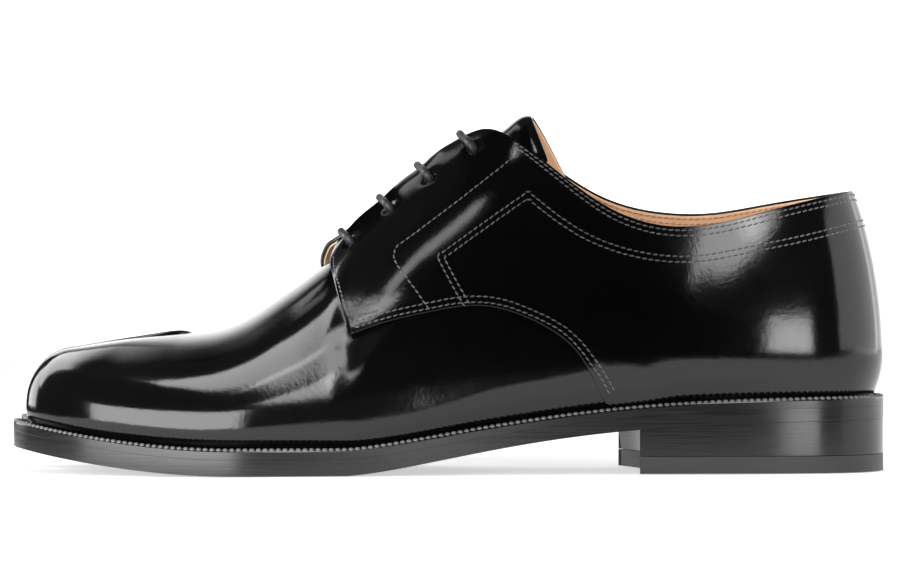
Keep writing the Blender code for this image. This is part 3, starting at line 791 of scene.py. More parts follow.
# Linings: thin undyed calf glued behind the quarters and the vamp and trimmed just below the top edge, so that
# a narrow rim of black shows above it. The foot bed's sock is of the same leather.
LINING_TAN = (0.86, 0.58, 0.37)
LINING_DEEP = (0.74, 0.46, 0.27)
LINING_WALL = 0.65
LINING_INSET = 0.6
GLUE = 0.08


def lining_leather():
    """Undyed calf: matt, with soft cloudy tone and fine pores."""
    tan = Finish("lining_leather", LINING_TAN, 0.55)
    clouds = tan.noise(45.0, 5.0)
    tan.wire("Base Color", tan.shades(clouds, LINING_DEEP, LINING_TAN))
    tan.wire("Roughness", tan.between(tan.noise(300.0), 0.45, 0.65))
    tan.wire("Normal", tan.bump(tan.noise(1500.0, 4.0), 0.0001))
    return tan.material


lining_finish = lining_leather()
linings = {}
for side in ("lateral", "medial"):
    columns = quarter_sheet(side == "medial", LINING_INSET, QUARTER_WALL + GLUE, False)
    lining = new_piece(f"quarter_lining_{side}", sheet_mesh(f"quarter_lining_{side}", columns), lining_finish)
    thicken(lining, LINING_WALL, 1)
    dimple_eyelets(lining, side)
    punch_eyelets(lining, side)
    fit(lining, "upper")
    linings[side] = lining

vamp_lining = new_piece("vamp_lining", sheet_mesh("vamp_lining", vamp_cage), lining_finish)
for vertex, normal in zip(vamp_lining.data.vertices, [v.normal.copy() for v in vamp_lining.data.vertices]):
    vertex.co -= (VAMP_WALL + GLUE) * MM * normal
thicken(vamp_lining, LINING_WALL, 1)
fit(vamp_lining, "upper")

# Tongue: a soft sheet of the black calf backed with tan lining, sewn under the vamp's back edge. It lies under
# the facings and stands out above the top of the throat.
TONGUE_FOOT = -58.0
TONGUE_TOP = 30.2
TONGUE_HALF_FOOT = 16.0
TONGUE_HALF_TOP = 32.0
TONGUE_BELOW = 3.4
TONGUE_DROP = 3.4
TONGUE_DROP_TO = -38.0
TONGUE_DROP_LENGTH = 10.0
TONGUE_WALL = 1.1
TONGUE_SKEW_LATERAL = 0.14
TONGUE_SKEW_MEDIAL = 0.05
TONGUE_RISE = ((-58.0, 0.0), (0.0, 0.0), (6.0, -1.5), (12.0, -2.9), (17.5, -3.0), (22.0, -0.6), (25.0, 1.1),
               (30.2, 1.8))
TONGUE_ROWS = 24
TONGUE_STEPS = 16


tongue_rise = table_curve(TONGUE_RISE, 1)


def tongue_columns(below):
    """Columns of points of the tongue, this far under the outer face of the facings."""
    columns = []
    for row in np.linspace(0, 1, TONGUE_ROWS + 1):
        station = TONGUE_FOOT + row * (TONGUE_TOP - TONGUE_FOOT)
        half_width = TONGUE_HALF_FOOT + row * (TONGUE_HALF_TOP - TONGUE_HALF_FOOT)
        drop = below + TONGUE_DROP * (1 - smooth_step((station - TONGUE_DROP_TO) / TONGUE_DROP_LENGTH))
        across = np.linspace(-half_width, half_width, TONGUE_STEPS)
        skew = np.where(across < 0, TONGUE_SKEW_LATERAL, TONGUE_SKEW_MEDIAL) * across * row**2
        rise = np.array([0.0, 0.0, tongue_rise(station)])
        column = [off_instep(station + s, away, -drop, "last")[0] for s, away in zip(skew, across)]
        columns.append([point + rise for point in column])
    return columns


tongue = new_piece("tongue_face", sheet_mesh("tongue_face", tongue_columns(TONGUE_BELOW)), calf_finish)
thicken(tongue, TONGUE_WALL, SMOOTHING)
fit(tongue, "tongue")
tongue_back = tongue_columns(TONGUE_BELOW + TONGUE_WALL + GLUE)
tongue_lining = new_piece("tongue_lining", sheet_mesh("tongue_lining", tongue_back), lining_finish)
thicken(tongue_lining, LINING_WALL, 1)
fit(tongue_lining, "tongue")

# Stitches: waxed black thread, sewn by machine. Two rows hold the quarter to the vamp, two trim the top edge,
# two mark out the band and the facing, and one follows the eyelets. Two short bar tacks hold the lower corner,
# and tan thread shows inside the lining.
STITCH_PITCH = 2.2
STITCH_LENGTH = 1.95
STITCH_WIDTH = 0.62
STITCH_HEIGHT = 0.5
STITCH_SLANT = 0.13
ROWS_APART = 1.9
EDGE_TO_ROW = 1.5
COLLAR_TO_ROW = 1.5
SEAM_STEP = 3.0
SEAM_END = 1.2
STAND_OFF = 4.0
# The black thread's light grey is a painted glint, the light caught on the waxed thread.
THREAD_PAINTED_GLINT = (0.13, 0.13, 0.134)
THREAD_DARK = (0.02, 0.02, 0.021)
THREAD_TAN = (0.33, 0.15, 0.05)
BAND_ROW = (
    (140.1, 84.2), (119.2, 78.9), (101.1, 75.2), (83.0, 72.2), (65.2, 73.5), (45.3, 80.6), (27.2, 93.8),
)
FACING_ROW = ((27.2, 93.8), (12.3, 83.3), (-2.2, 72.8))
FACING_DROP = ((-2.2, 72.8), (1.5, 65.7), (6.2, 57.7))
EYELET_ROW = ((23.6, 107.9), (2.5, 91.1), (-14.5, 78.3))
BAR_TACKS = (
    ((-32.0, 55.0), (-27.6, 56.4), (-23.2, 57.7)),
    ((-30.4, 52.6), (-27.0, 53.7), (-23.5, 54.7)),
)
TACK_PITCH = 0.8
TACK_LENGTH = 1.5
TACK_SLANT = 1.1
EYELET_TURN = ((-14.5, 78.3), (-17.4, 75.9), (-18.2, 73.6), (-17.4, 71.2), (-13.3, 65.5), (-6.5, 56.1))


def smooth_line(rows):
    """Points every few millimetres along a smooth line through these rows."""
    table = np.array(rows, float)
    along = np.concatenate([[0.0], np.cumsum(np.hypot(*np.diff(table, axis=0).T))])
    at = np.linspace(0, along[-1], max(2, round(along[-1] / SEAM_STEP)) + 1)
    return np.column_stack([
        [curve_at(along, table[:, axis], smooth_slopes(along, table[:, axis]), place) for place in at]
        for axis in (0, 1)
    ])


def joined_legs(*legs):
    """One line from smooth legs that meet in corners."""
    lines = [smooth_line(leg) for leg in legs]
    return np.vstack([lines[0]] + [line[1:] for line in lines[1:]])


def beside(line, distance):
    """A line at this distance to the left of another, with mitred corners."""
    steps = np.diff(line, axis=0)
    steps = steps / np.linalg.norm(steps, axis=1, keepdims=True)
    left = np.column_stack([-steps[:, 1], steps[:, 0]])
    before = np.vstack([left[:1], left])
    after = np.vstack([left, left[-1:]])
    mitre = (before + after) / (1 + np.sum(before * after, axis=1, keepdims=True))
    return line + distance * mitre


def seam_places(line, medial):
    """Places on the quarter of a line drawn on the side; on the inner side it follows the higher top edge."""
    places = []
    for x, z in line:
        if medial:
            z = z + (collar_medial(x) - collar_lateral(x)) * smooth_step((z - 60.0) / 20.0)
        places.append(place_on_side(x, z, medial))
    return places


def to_back_seam(places):
    """Carries a row on round the heel, as it levels out, to the back seam."""
    (s, h), (after_s, after_h) = places[:2]
    slope = (h - after_h) / (s - after_s)
    return [(at, h + slope * (at - s) / 2) for at in np.linspace(SEAM_END, s, 5)[:-1]] + places


def outward(s, h, medial):
    """The direction away from the foot at a place on the last."""
    up = on_last(s, h + NORMAL_STEP, medial) - on_last(s, h - NORMAL_STEP, medial)
    along = on_last(s + NORMAL_STEP, h, medial) - on_last(s - NORMAL_STEP, h, medial)
    normal = np.cross(along, up) if medial else np.cross(up, along)
    return normal / np.linalg.norm(normal)


def laid_on(piece, places, medial, inside=False):
    """Points and directions of a seam where it lies on a piece's outer or inner face."""
    form = bmesh.new()
    form.from_mesh(piece.data)
    tree = BVHTree.FromBMesh(form)
    form.free()
    laid = []
    for s, h in places:
        away = outward(s, h, medial) * (-1 if inside else 1)
        start = (on_last(s, h, medial) + STAND_OFF * away) * MM
        place, normal, _, _ = tree.find_nearest(Vector(start))
        laid.append((place, normal))
    return laid


def lines_mesh(name, lines):
    """A mesh of separate lines that keeps the direction away from the leather at each point."""
    points, edges, ups = [], [], []
    for line in lines:
        start = len(points)
        points += [place for place, _ in line]
        ups += [normal for _, normal in line]
        edges += [(i, i + 1) for i in range(start, len(points) - 1)]
    mesh = bpy.data.meshes.new(name)
    mesh.from_pydata(points, edges, [])
    attribute = mesh.attributes.new("up", "FLOAT_VECTOR", "POINT")
    attribute.data.foreach_set("vector", np.array(ups).ravel())
    return mesh


class Steps:
    """A geometry node tree that is wired up step by step."""

    def __init__(self, name):
        self.tree = bpy.data.node_groups.new(name, "GeometryNodeTree")
        self.tree.interface.new_socket("Geometry", in_out="INPUT", socket_type="NodeSocketGeometry")
        self.tree.interface.new_socket("Geometry", in_out="OUTPUT", socket_type="NodeSocketGeometry")
        self.entry = self.tree.nodes.new("NodeGroupInput")
        self.exit = self.tree.nodes.new("NodeGroupOutput")
        self.identifiers = {}

    def named(self, name, kind="NodeSocketFloat"):
        socket = self.tree.interface.new_socket(name, in_out="INPUT", socket_type=kind)
        self.identifiers[name] = socket.identifier
        return self.entry.outputs[name]

    def add(self, kind, settings=(), **inputs):
        node = self.tree.nodes.new(kind)
        for name, value in settings:
            setattr(node, name, value)
        for name, value in inputs.items():
            socket = node.inputs[name.replace("_", " ")]
            if isinstance(value, bpy.types.NodeSocket):
                self.tree.links.new(value, socket)
            else:
                socket.default_value = value
        return node.outputs[0]

    def end(self, geometry, material):
        real = self.add("GeometryNodeRealizeInstances", Geometry=geometry)
        smooth = self.add("GeometryNodeSetShadeSmooth", Geometry=real)
        finished = self.add("GeometryNodeSetMaterial", Geometry=smooth, Material=material)
        self.tree.links.new(finished, self.exit.inputs["Geometry"])

    def run(self, piece, **values):
        modifier = piece.modifiers.new(self.tree.name, "NODES")
        modifier.node_group = self.tree
        for name, value in values.items():
            modifier[self.identifiers[name.replace("_", " ")]] = value
        return settle(piece)


def rounded_row():
    """Small rounded bodies laid end to end along lines, such as the stitches of a seam."""
    row = Steps("rounded_row")
    pitch, length, width, height, slant = (
        row.named(name) for name in ("Pitch", "Length", "Width", "Height", "Slant")
    )
    material = row.named("Material", "NodeSocketMaterial")
    line = row.add("GeometryNodeMeshToCurve", Mesh=row.entry.outputs["Geometry"])
    places = row.add("GeometryNodeResampleCurve", (("mode", "LENGTH"),), Curve=line, Length=pitch)
    up = row.add("GeometryNodeInputNamedAttribute", (("data_type", "FLOAT_VECTOR"),), Name="up")
    upright = row.add("FunctionNodeAlignRotationToVector", (("axis", "Z"),), Vector=up)
    tangent = row.add("GeometryNodeInputTangent")
    turned = row.add(
        "FunctionNodeAlignRotationToVector", (("axis", "X"), ("pivot_axis", "Z")),
        Rotation=upright, Vector=tangent,
    )
    lean = row.add("ShaderNodeCombineXYZ", Z=slant)
    slanted = row.add(
        "FunctionNodeRotateRotation", (("rotation_space", "LOCAL"),), Rotation=turned, Rotate_By=lean
    )
    ball = row.add("GeometryNodeMeshUVSphere", Segments=8, Rings=5, Radius=0.5)
    size = row.add("ShaderNodeCombineXYZ", X=length, Y=width, Z=height)
    body = row.add("GeometryNodeTransform", Geometry=ball, Scale=size)
    laid = row.add("GeometryNodeInstanceOnPoints", Points=places, Instance=body, Rotation=slanted)
    row.end(laid, material)
    return row


def waxed_thread(name, light, dark):
    """Twisted thread, its colour mottled between two shades; on the black thread the lighter grey is a painted
    glint of light on the wax.
    """
    thread = Finish(name, light, 0.42)
    thread.wire("Base Color", thread.shades(thread.noise(900.0), dark, light))
    thread.wire("Normal", thread.bump(thread.noise(4000.0, 2.0), 0.0001))
    thread.set(Coat_Weight=0.3, Coat_Roughness=0.25)
    return thread.material


stitch_row = rounded_row()
black_thread = waxed_thread("black_thread", THREAD_PAINTED_GLINT, THREAD_DARK)
tan_thread = waxed_thread("tan_thread", THREAD_TAN, LINING_DEEP)
band_line = joined_legs(BAND_ROW, FACING_ROW, FACING_DROP)
eyelet_line = joined_legs(EYELET_ROW, EYELET_TURN)

for side in ("lateral", "medial"):
    inner_side = side == "medial"
    front_rows = FRONT_MEDIAL if inner_side else FRONT_LATERAL
    low_line = smooth_line((front_rows[0], *QUARTER_LOW))
    edge_line = np.vstack([smooth_line(front_rows[::-1])[:-1], low_line])
    drawn = [
        beside(band_line, ROWS_APART / 2),
        beside(band_line, -ROWS_APART / 2),
        eyelet_line,
        beside(edge_line, EDGE_TO_ROW)[:-1],
        beside(low_line, EDGE_TO_ROW + ROWS_APART)[1:-1],
    ]
    seams = [seam_places(line, inner_side) for line in drawn]
    seams[:2] = [to_back_seam(seam) for seam in seams[:2]]
    trims = []
    for below in (COLLAR_TO_ROW, COLLAR_TO_ROW + ROWS_APART):
        s_front, _ = place_on_side(EYELET_ROW[0][0], EYELET_ROW[0][1], inner_side)
        s_rows = np.linspace(SEAM_END, s_front, round(s_front / SEAM_STEP))
        trims.append([(s, top_height(s, inner_side) - below) for s in s_rows])
    lines = [laid_on(quarters[side], seam, inner_side) for seam in seams + trims]
    stitches = new_piece(f"stitches_{side}", lines_mesh(f"stitches_{side}", lines))
    stitch_row.run(
        stitches, Pitch=STITCH_PITCH * MM, Length=STITCH_LENGTH * MM, Width=STITCH_WIDTH * MM,
        Height=STITCH_HEIGHT * MM, Slant=STITCH_SLANT, Material=black_thread,
    )
    fit(stitches, "upper")
    tacks = [seam_places(smooth_line(row), inner_side) for row in BAR_TACKS]
    tacks = [laid_on(quarters[side], tack, inner_side) for tack in tacks]
    bar_tack = new_piece(f"bar_tack_{side}", lines_mesh(f"bar_tack_{side}", tacks))
    stitch_row.run(
        bar_tack, Pitch=TACK_PITCH * MM, Length=TACK_LENGTH * MM, Width=STITCH_WIDTH * MM,
        Height=STITCH_HEIGHT * MM, Slant=TACK_SLANT, Material=black_thread,
    )
    fit(bar_tack, "upper")
    backs = [laid_on(linings[side], trim, inner_side, inside=True) for trim in trims]
    back_stitches = new_piece(f"lining_stitches_{side}", lines_mesh(f"lining_stitches_{side}", backs))
    stitch_row.run(
        back_stitches, Pitch=STITCH_PITCH * MM, Length=STITCH_LENGTH * MM, Width=STITCH_WIDTH * MM,
        Height=STITCH_HEIGHT * MM, Slant=STITCH_SLANT, Material=tan_thread,
    )
    fit(back_stitches, "upper")

# Foot bed: the insole with its filling, covered by a tan sock. It fills the welt and carries the foot.
WELT_THICKNESS = 3.2
WELT_UNDER_UPPER = 2.4
INSOLE_ABOVE_WELT = 1.0
EDGE_STEPS_PER_ROW = 12
PLATE_STATIONS = 70
ON_PLANE = 0.02
WALL_LEAN = 0.35
CORNER_PULL = 0.05

edge_t = between_rows("heel back", "heel back", EDGE_STEPS_PER_ROW)[:-1]
welt_inset = rib_value("margin", edge_t) + WELT_UNDER_UPPER


def shade_walls(mesh, outline):
    """Shades the upright walls of a plate by its outline, so that they turn evenly."""
    steps = np.roll(outline, -1, axis=0) - outline
    lengths = np.linalg.norm(steps, axis=1, keepdims=True)
    faced = np.column_stack([steps[:, 1], -steps[:, 0]]) / lengths
    before = np.roll(faced, 1, axis=0)
    middle = faced / lengths + before / np.roll(lengths, 1, axis=0)
    middle = middle / np.linalg.norm(middle, axis=1, keepdims=True)
    corner = np.sum(faced * before, axis=1, keepdims=True) < math.cos(SHARP)
    starts = np.where(corner, faced, middle)
    ends = np.roll(np.where(corner, before, middle), -1, axis=0)
    normals = np.zeros((len(mesh.loops), 3))
    for face in mesh.polygons:
        if abs(face.normal.z) > WALL_LEAN:
            continue
        for loop in face.loop_indices:
            place = np.array(mesh.vertices[mesh.loops[loop].vertex_index].co)
            place = (place + CORNER_PULL * (np.array(face.center) - place))[:2] / MM
            share = np.clip(np.sum((place - outline) * steps, axis=1, keepdims=True) / lengths**2, 0, 1)
            nearest = int(np.argmin(np.linalg.norm(outline + share * steps - place, axis=1)))
            normal = (1 - share[nearest]) * starts[nearest] + share[nearest] * ends[nearest]
            normals[loop, :2] = normal * (1 if normal @ np.array(face.normal)[:2] > 0 else -1)
    mesh.normals_split_custom_set(normals)


def plate(name, outline, low, high, rounding, finish, flare=(1.0, 1.0)):
    """A plate with this outline between two heights along the foot; flare widens its lower and upper face."""
    form = bmesh.new()
    outline = np.asarray(outline)
    form.faces.new([form.verts.new((x * MM, y * MM, 0)) for x, y in outline])
    for x in np.linspace(outline[:, 0].min(), outline[:, 0].max(), PLATE_STATIONS)[1:-1]:
        parts = form.verts[:] + form.edges[:] + form.faces[:]
        bmesh.ops.bisect_plane(
            form, geom=parts, plane_co=(x * MM, 0, 0), plane_no=(1, 0, 0), dist=ON_PLANE * MM
        )
    lower = form.verts[:]
    made = bmesh.ops.extrude_face_region(form, geom=form.faces[:])["geom"]
    for vertex in lower:
        vertex.co.z = low(vertex.co.x / MM) * MM
        vertex.co.y *= flare[0]
    for vertex in made:
        if isinstance(vertex, bmesh.types.BMVert):
            vertex.co.z = high(vertex.co.x / MM) * MM
            vertex.co.y *= flare[1]
    bmesh.ops.recalc_face_normals(form, faces=form.faces)
    mesh = bpy.data.meshes.new(name)
    form.to_mesh(mesh)
    form.free()
    piece = new_piece(name, mesh, finish)
    soft = piece.modifiers.new("rounding", "BEVEL")
    soft.width = rounding * MM
    soft.segments = 3
    soft.limit_method = "ANGLE"
    soft.angle_limit = SHARP
    settle(piece)
    piece.data.set_sharp_from_angle(angle=SHARP)
    shade_walls(piece.data, outline)
    return piece


sock_outline = np.column_stack(edge_point(edge_t, welt_inset + GAP))
foot_bed = plate(
    "foot_bed", sock_outline, lambda x: sole_top(x) - WELT_THICKNESS + GAP,
    lambda x: sole_top(x) + INSOLE_ABOVE_WELT, 0.4, lining_finish,
)
fit(foot_bed, "insole")

# Welt: a strip of leather all round, sewn to the upper and to the sole. Its top is ridged with a hot wheel,
# which leaves a row of small rounded teeth along the edge; ink and wax make it black.
WELT_PROFILE = (
    (0.04, -3.2), (0.0, -3.16), (0.0, -3.05), (0.0, -0.8), (0.0, -0.65), (0.2, -0.2), (0.7, 0.0), (2.0, -0.1),
)
TOOTH_PITCH = 2.2
TOOTH_LENGTH = 2.1
TOOTH_DEPTH = 1.6
TOOTH_HEIGHT = 1.6
TOOTH_INSET = 0.8
TOOTH_BELOW = 0.12
INK_BLACK = (0.003, 0.003, 0.0032)
INK_WORN = (0.009, 0.0088, 0.0086)
# The teeth's two greys are painted highlight: the light caught on the ridged tops of the black inked teeth.
TOOTH_PAINTED_SHEEN = (0.05, 0.049, 0.047)
TOOTH_PAINTED_GLINT = (0.15, 0.147, 0.142)


def inked_edge(name, light, dark, streaks, roughness):
    """Leather edge, trimmed, inked and waxed: satin, with fine lines from the iron along it."""
    edge = Finish(name, dark, roughness)
    lines = edge.noise(streaks, 6.0, (0.03, 0.03, 1.0))
    edge.wire("Base Color", edge.shades(lines, dark, light))
    edge.wire("Roughness", edge.between(lines, roughness - 0.06, roughness + 0.1))
    edge.wire("Normal", edge.bump(lines, 0.000008))
    return edge.material


welt_finish = inked_edge("welt_leather", INK_WORN, INK_BLACK, 900.0, 0.18)
welt_rings = []
for inset, height in WELT_PROFILE:
    x, y = edge_point(edge_t, inset)
    welt_rings.append(np.column_stack([x, y, sole_top(x) + height]))
for height in (WELT_PROFILE[-1][1], WELT_PROFILE[0][1]):
    x, y = edge_point(edge_t, welt_inset)
    welt_rings.append(np.column_stack([x, y, sole_top(x) + height]))
welt_form = bmesh.new()
welt_corners = [[welt_form.verts.new(point * MM) for point in ring] for ring in welt_rings]
for ring, after in zip(welt_corners, welt_corners[1:] + welt_corners[:1]):
    for i in range(len(ring)):
        j = (i + 1) % len(ring)
        welt_form.faces.new((ring[i], ring[j], after[j], after[i]))
bmesh.ops.recalc_face_normals(welt_form, faces=welt_form.faces)
welt_mesh = bpy.data.meshes.new("welt_strip")
welt_form.to_mesh(welt_mesh)
welt_form.free()
welt = new_piece("welt_strip", welt_mesh, welt_finish)
welt_mesh.shade_smooth()
welt_mesh.set_sharp_from_angle(angle=SHARP)
fit(welt, "welt")

tooth_x, tooth_y = edge_point(edge_t, TOOTH_INSET)
tooth_line = [
    (Vector((x, y, sole_top(x) - TOOTH_BELOW)) * MM, Vector((0, 0, 1))) for x, y in zip(tooth_x, tooth_y)
]
teeth = new_piece("welt_teeth", lines_mesh("welt_teeth", [tooth_line + tooth_line[:1]]))
stitch_row.run(
    teeth, Pitch=TOOTH_PITCH * MM, Length=TOOTH_LENGTH * MM, Width=TOOTH_DEPTH * MM, Height=TOOTH_HEIGHT * MM,
    Slant=0.0, Material=inked_edge("welt_teeth", TOOTH_PAINTED_GLINT, TOOTH_PAINTED_SHEEN, 900.0, 0.24),
)
fit(teeth, "welt")

# Outsole: one piece of sole leather cut to the split outline and sewn to the welt. Its edge is trimmed flush
# with the welt, inked black and burnished.
outsole_finish = inked_edge("sole_leather", INK_WORN, INK_BLACK, 1400.0, 0.16)
outsole = plate(
    "sole", np.column_stack(edge_point(edge_t, 0.0)), sole_bottom, lambda x: sole_top(x) - WELT_THICKNESS,
    0.08, outsole_finish,
)
fit(outsole, "outsole")

# Heel: leather lifts glued and nailed in a stack under the seat, trimmed and inked as one block, with a rubber
# top piece that wears on the ground. Its front is hollowed a little.
TOP_PIECE = 5.8
HEEL_INSET = 0.1
HEEL_FLARE = 0.001
BREAST_LATERAL = 64.5
BREAST_MEDIAL = 60.0
BREAST_HOLLOW = 6.0
HEEL_STEPS = 120
BREAST_STEPS = 24
RUBBER_BLACK = (0.012, 0.012, 0.0125)
RUBBER_DUSTY = (0.02, 0.02, 0.02)


def heel_outline(inset):
    """The heel end of the sole's outline, closed by the hollowed breast."""
    t = np.linspace(-LOOP / 2, LOOP / 2, 4 * ROW_SAMPLES)
    x, y = edge_point(t, inset)
    behind = t[x >= np.where(y < 0, BREAST_LATERAL, BREAST_MEDIAL)]
    rim = np.column_stack(edge_point(np.linspace(behind[0], behind[-1], HEEL_STEPS + 1), inset))
    along = np.linspace(0, 1, BREAST_STEPS + 1)[1:-1, None]
    breast = rim[-1] + along * (rim[0] - rim[-1])
    breast[:, 0] += BREAST_HOLLOW * (4 * along * (1 - along))[:, 0]
    return np.vstack([rim, breast])


stack_finish = inked_edge("stack_leather", INK_WORN, INK_BLACK, 2200.0, 0.15)
heel_rim = heel_outline(HEEL_INSET)
heel_stack = plate(
    "heel_lifts", heel_rim, lambda x: TOP_PIECE + 0.15, lambda x: sole_bottom(x) - 0.03, 0.1, stack_finish,
    (1.0 + HEEL_FLARE * (HEEL_SEAT - TOP_PIECE), 1.0),
)
fit(heel_stack, "heel_stack")


def heel_rubber():
    """Moulded rubber, trimmed and faintly scuffed."""
    rubber = Finish("heel_rubber", RUBBER_BLACK, 0.5)
    scuffs = rubber.noise(260.0, 6.0, (0.25, 0.25, 1.0))
    rubber.wire("Base Color", rubber.shades(scuffs, RUBBER_BLACK, RUBBER_DUSTY))
    rubber.wire("Roughness", rubber.between(scuffs, 0.4, 0.62))
    rubber.wire("Normal", rubber.bump(rubber.noise(1800.0, 3.0), 0.00008))
    return rubber.material


top_piece = plate(
    "heel_top_piece", heel_rim, lambda x: 0.0, lambda x: TOP_PIECE, 0.4, heel_rubber(),
    (1.0 + HEEL_FLARE * HEEL_SEAT, 1.0 + HEEL_FLARE * (HEEL_SEAT - TOP_PIECE)),
)
fit(top_piece, "top_piece")

# Laces: round waxed cotton cord. Four bars lie across the throat and dip into the eyelets of both facings,
# where they go on out of sight.
LACE_DIAMETER = 2.7
LACE_RIDGES = 9
LACE_VALLEY = 0.88
LACE_TURNS = 260.0
LACE_STEP = 0.35
LACE_BLACK = (0.008, 0.008, 0.0085)
LACE_SHEEN = (0.026, 0.026, 0.027)
LACE_SHOULDER = ((2.4, 0.5), (0.9, 0.36), (0.15, 0.0), (0.0, -0.5), (0.0, -1.1))


def waxed_cord():
    """Braided cotton, black and lightly waxed."""
    cord = Finish("waxed_lace", LACE_BLACK, 0.45)
    cord.wire("Base Color", cord.shades(cord.noise(1500.0), LACE_BLACK, LACE_SHEEN))
    cord.wire("Normal", cord.bump(cord.noise(5000.0, 2.0), 0.00012))
    cord.set(Coat_Weight=0.2, Coat_Roughness=0.3)
    return cord.material


def twisted_cord():
    """A round cord with fine twisted ridges along a line."""
    cord = Steps("twisted_cord")
    radius, valley, turns, step = (cord.named(name) for name in ("Radius", "Valley", "Turns", "Step"))
    material = cord.named("Material", "NodeSocketMaterial")
    line = cord.add("GeometryNodeMeshToCurve", Mesh=cord.entry.outputs["Geometry"])
    fine = cord.add("GeometryNodeResampleCurve", (("mode", "LENGTH"),), Curve=line, Length=step)
    spline = cord.tree.nodes.new("GeometryNodeSplineParameter")
    tilt = cord.add("ShaderNodeMath", (("operation", "MULTIPLY"),))
    multiply = tilt.node
    cord.tree.links.new(spline.outputs["Length"], multiply.inputs[0])
    cord.tree.links.new(turns, multiply.inputs[1])
    tilted = cord.add("GeometryNodeSetCurveTilt", Curve=fine, Tilt=tilt)
    round_form = cord.add("GeometryNodeCurveStar", Points=LACE_RIDGES, Inner_Radius=valley, Outer_Radius=radius)
    tube = cord.add("GeometryNodeCurveToMesh", Curve=tilted, Profile_Curve=round_form, Fill_Caps=True)
    cord.end(tube, material)
    return cord


lace_finish = waxed_cord()
lace_tree = twisted_cord()
for number, station in enumerate(EYELET_STATIONS, 1):
    keys = []
    for back, height in LACE_SHOULDER[::-1]:
        keys.append(off_instep(station, back - EYELET_REACH, height * LACE_DIAMETER, "quarter")[0])
    for away in (-12.0, -8.0, 8.0, 12.0):
        keys.append(off_instep(station, away, 0.12 * LACE_DIAMETER, "quarter")[0])
    for back, height in LACE_SHOULDER:
        keys.append(off_instep(station, EYELET_REACH - back, height * LACE_DIAMETER, "quarter")[0])
    keys = np.array(keys)
    along = lengths_along(keys)
    at = np.linspace(0, along[-1], 60)
    path = np.column_stack([
        [curve_at(along, keys[:, axis], smooth_slopes(along, keys[:, axis]), place) for place in at]
        for axis in range(3)
    ])
    lace_line = [(point * MM, (0, 0, 1)) for point in path]
    lace = new_piece(f"lace_{number}", lines_mesh(f"lace_{number}", [lace_line]))
    lace_tree.run(
        lace, Radius=LACE_DIAMETER / 2 * MM, Valley=LACE_VALLEY * LACE_DIAMETER / 2 * MM, Turns=LACE_TURNS,
        Step=LACE_STEP * MM, Material=lace_finish,
    )
    fit(lace, f"lace_bar_{number}")

# Camera: a long lens level with the middle of the shoe, square to its outer side and set back as far as in a
# product picture, so that the far side of the sole hardly shows.
CAMERA_X = 0.93
CAMERA_DISTANCE = 1350.0
CAMERA_HEIGHT = 62.4
CAMERA_LENS = 156.8

camera_data = bpy.data.cameras.new("camera")
camera_data.lens = CAMERA_LENS
camera_data.sensor_width = 36.0
camera = bpy.data.objects.new("camera", camera_data)
camera.location = (CAMERA_X * MM, -CAMERA_DISTANCE * MM, CAMERA_HEIGHT * MM)
camera.rotation_euler = (math.pi / 2, 0, 0)
bpy.context.scene.collection.objects.link(camera)
bpy.context.scene.camera = camera

# Table and backdrops: pale sheets, lit from behind, that the polished leather mirrors. The table ends in front of
# the shoe, and a plain apron carries the floor on. A small glowing sheet stands behind the toe.


def studio_plane(name, corners, color, glow, fades=()):
    """A flat sheet that glows. Each fade is a direction and two places along it, between which it thins out."""
    finish = Finish(name, color, 0.9)
    finish.wire("Roughness", finish.between(finish.noise(20.0), 0.85, 0.95))
    finish.set(Emission_Color=(*color, 1), Emission_Strength=glow)
    density = 1.0
    for direction, solid, clear in fades:
        along = finish.tree.nodes.new("ShaderNodeVectorMath")
        along.operation = "DOT_PRODUCT"
        along.inputs[1].default_value = direction
        finish.tree.links.new(finish.place, along.inputs[0])
        thinning = finish.add(
            "ShaderNodeMapRange", Value=along.outputs["Value"], From_Min=solid, From_Max=clear,
            To_Min=density, To_Max=0.0,
        )
        thinning.interpolation_type = "SMOOTHSTEP"
        density = thinning.outputs["Result"]
        finish.wire("Alpha", density)
    mesh = bpy.data.meshes.new(name)
    mesh.from_pydata(corners, [], [tuple(range(len(corners)))])
    plane = new_piece(name, mesh, finish.material)
    return plane


FLOOR_Z = -0.0003
TABLE_EDGE = ((-0.33, 3.0), (-0.33, -0.125), (-0.08, -0.125), (0.03, -0.26), (4.0, -0.26))
PALE = (0.9, 0.9, 0.9)
table_front = [(x, y, FLOOR_Z) for x, y in TABLE_EDGE]
studio_plane("floor", table_front + [(4, 3, FLOOR_Z)], PALE, 0.6)
apron_corners = [(-4, 3, FLOOR_Z), (-4, -3, FLOOR_Z), (4, -3, FLOOR_Z)] + table_front[::-1]
apron = studio_plane("apron", apron_corners, PALE, 0.6)
apron.visible_glossy = False
apron.visible_shadow = False
BACKDROP_Y = 3.0
BACKDROPS = {
    "backdrop": (((-1.1, -0.1), (4.0, -0.1), (4.0, 0.9), (-1.1, 0.9)), 1.25, ()),
    "backdrop_top": (((-1.1, 0.9), (4.0, 0.9), (4.0, 2.4), (-1.5, 2.4)), 1.35, (((0.0, 0.0, 1.0), 0.9, 2.4),)),
    "backdrop_band": (((-2.2, 2.5), (-1.62, 2.5), (-3.35, 6.2), (-3.95, 6.2)), 1.0, ()),
}
for name, (outline, glow, fades) in BACKDROPS.items():
    studio_plane(name, [(x, BACKDROP_Y, z) for x, z in outline], PALE, glow, fades)
TOE_GLOW_Y = 0.08
TOE_GLOW_OUTLINE = ((-0.093, 0.11), (-0.112, 0.18), (-0.42, 0.5), (-0.42, 0.11))
TOE_GLOW_FADES = (((0.963, 0.0, 0.268), -0.15, -0.06), ((0.72, 0.0, 0.693), -0.02, 0.044))
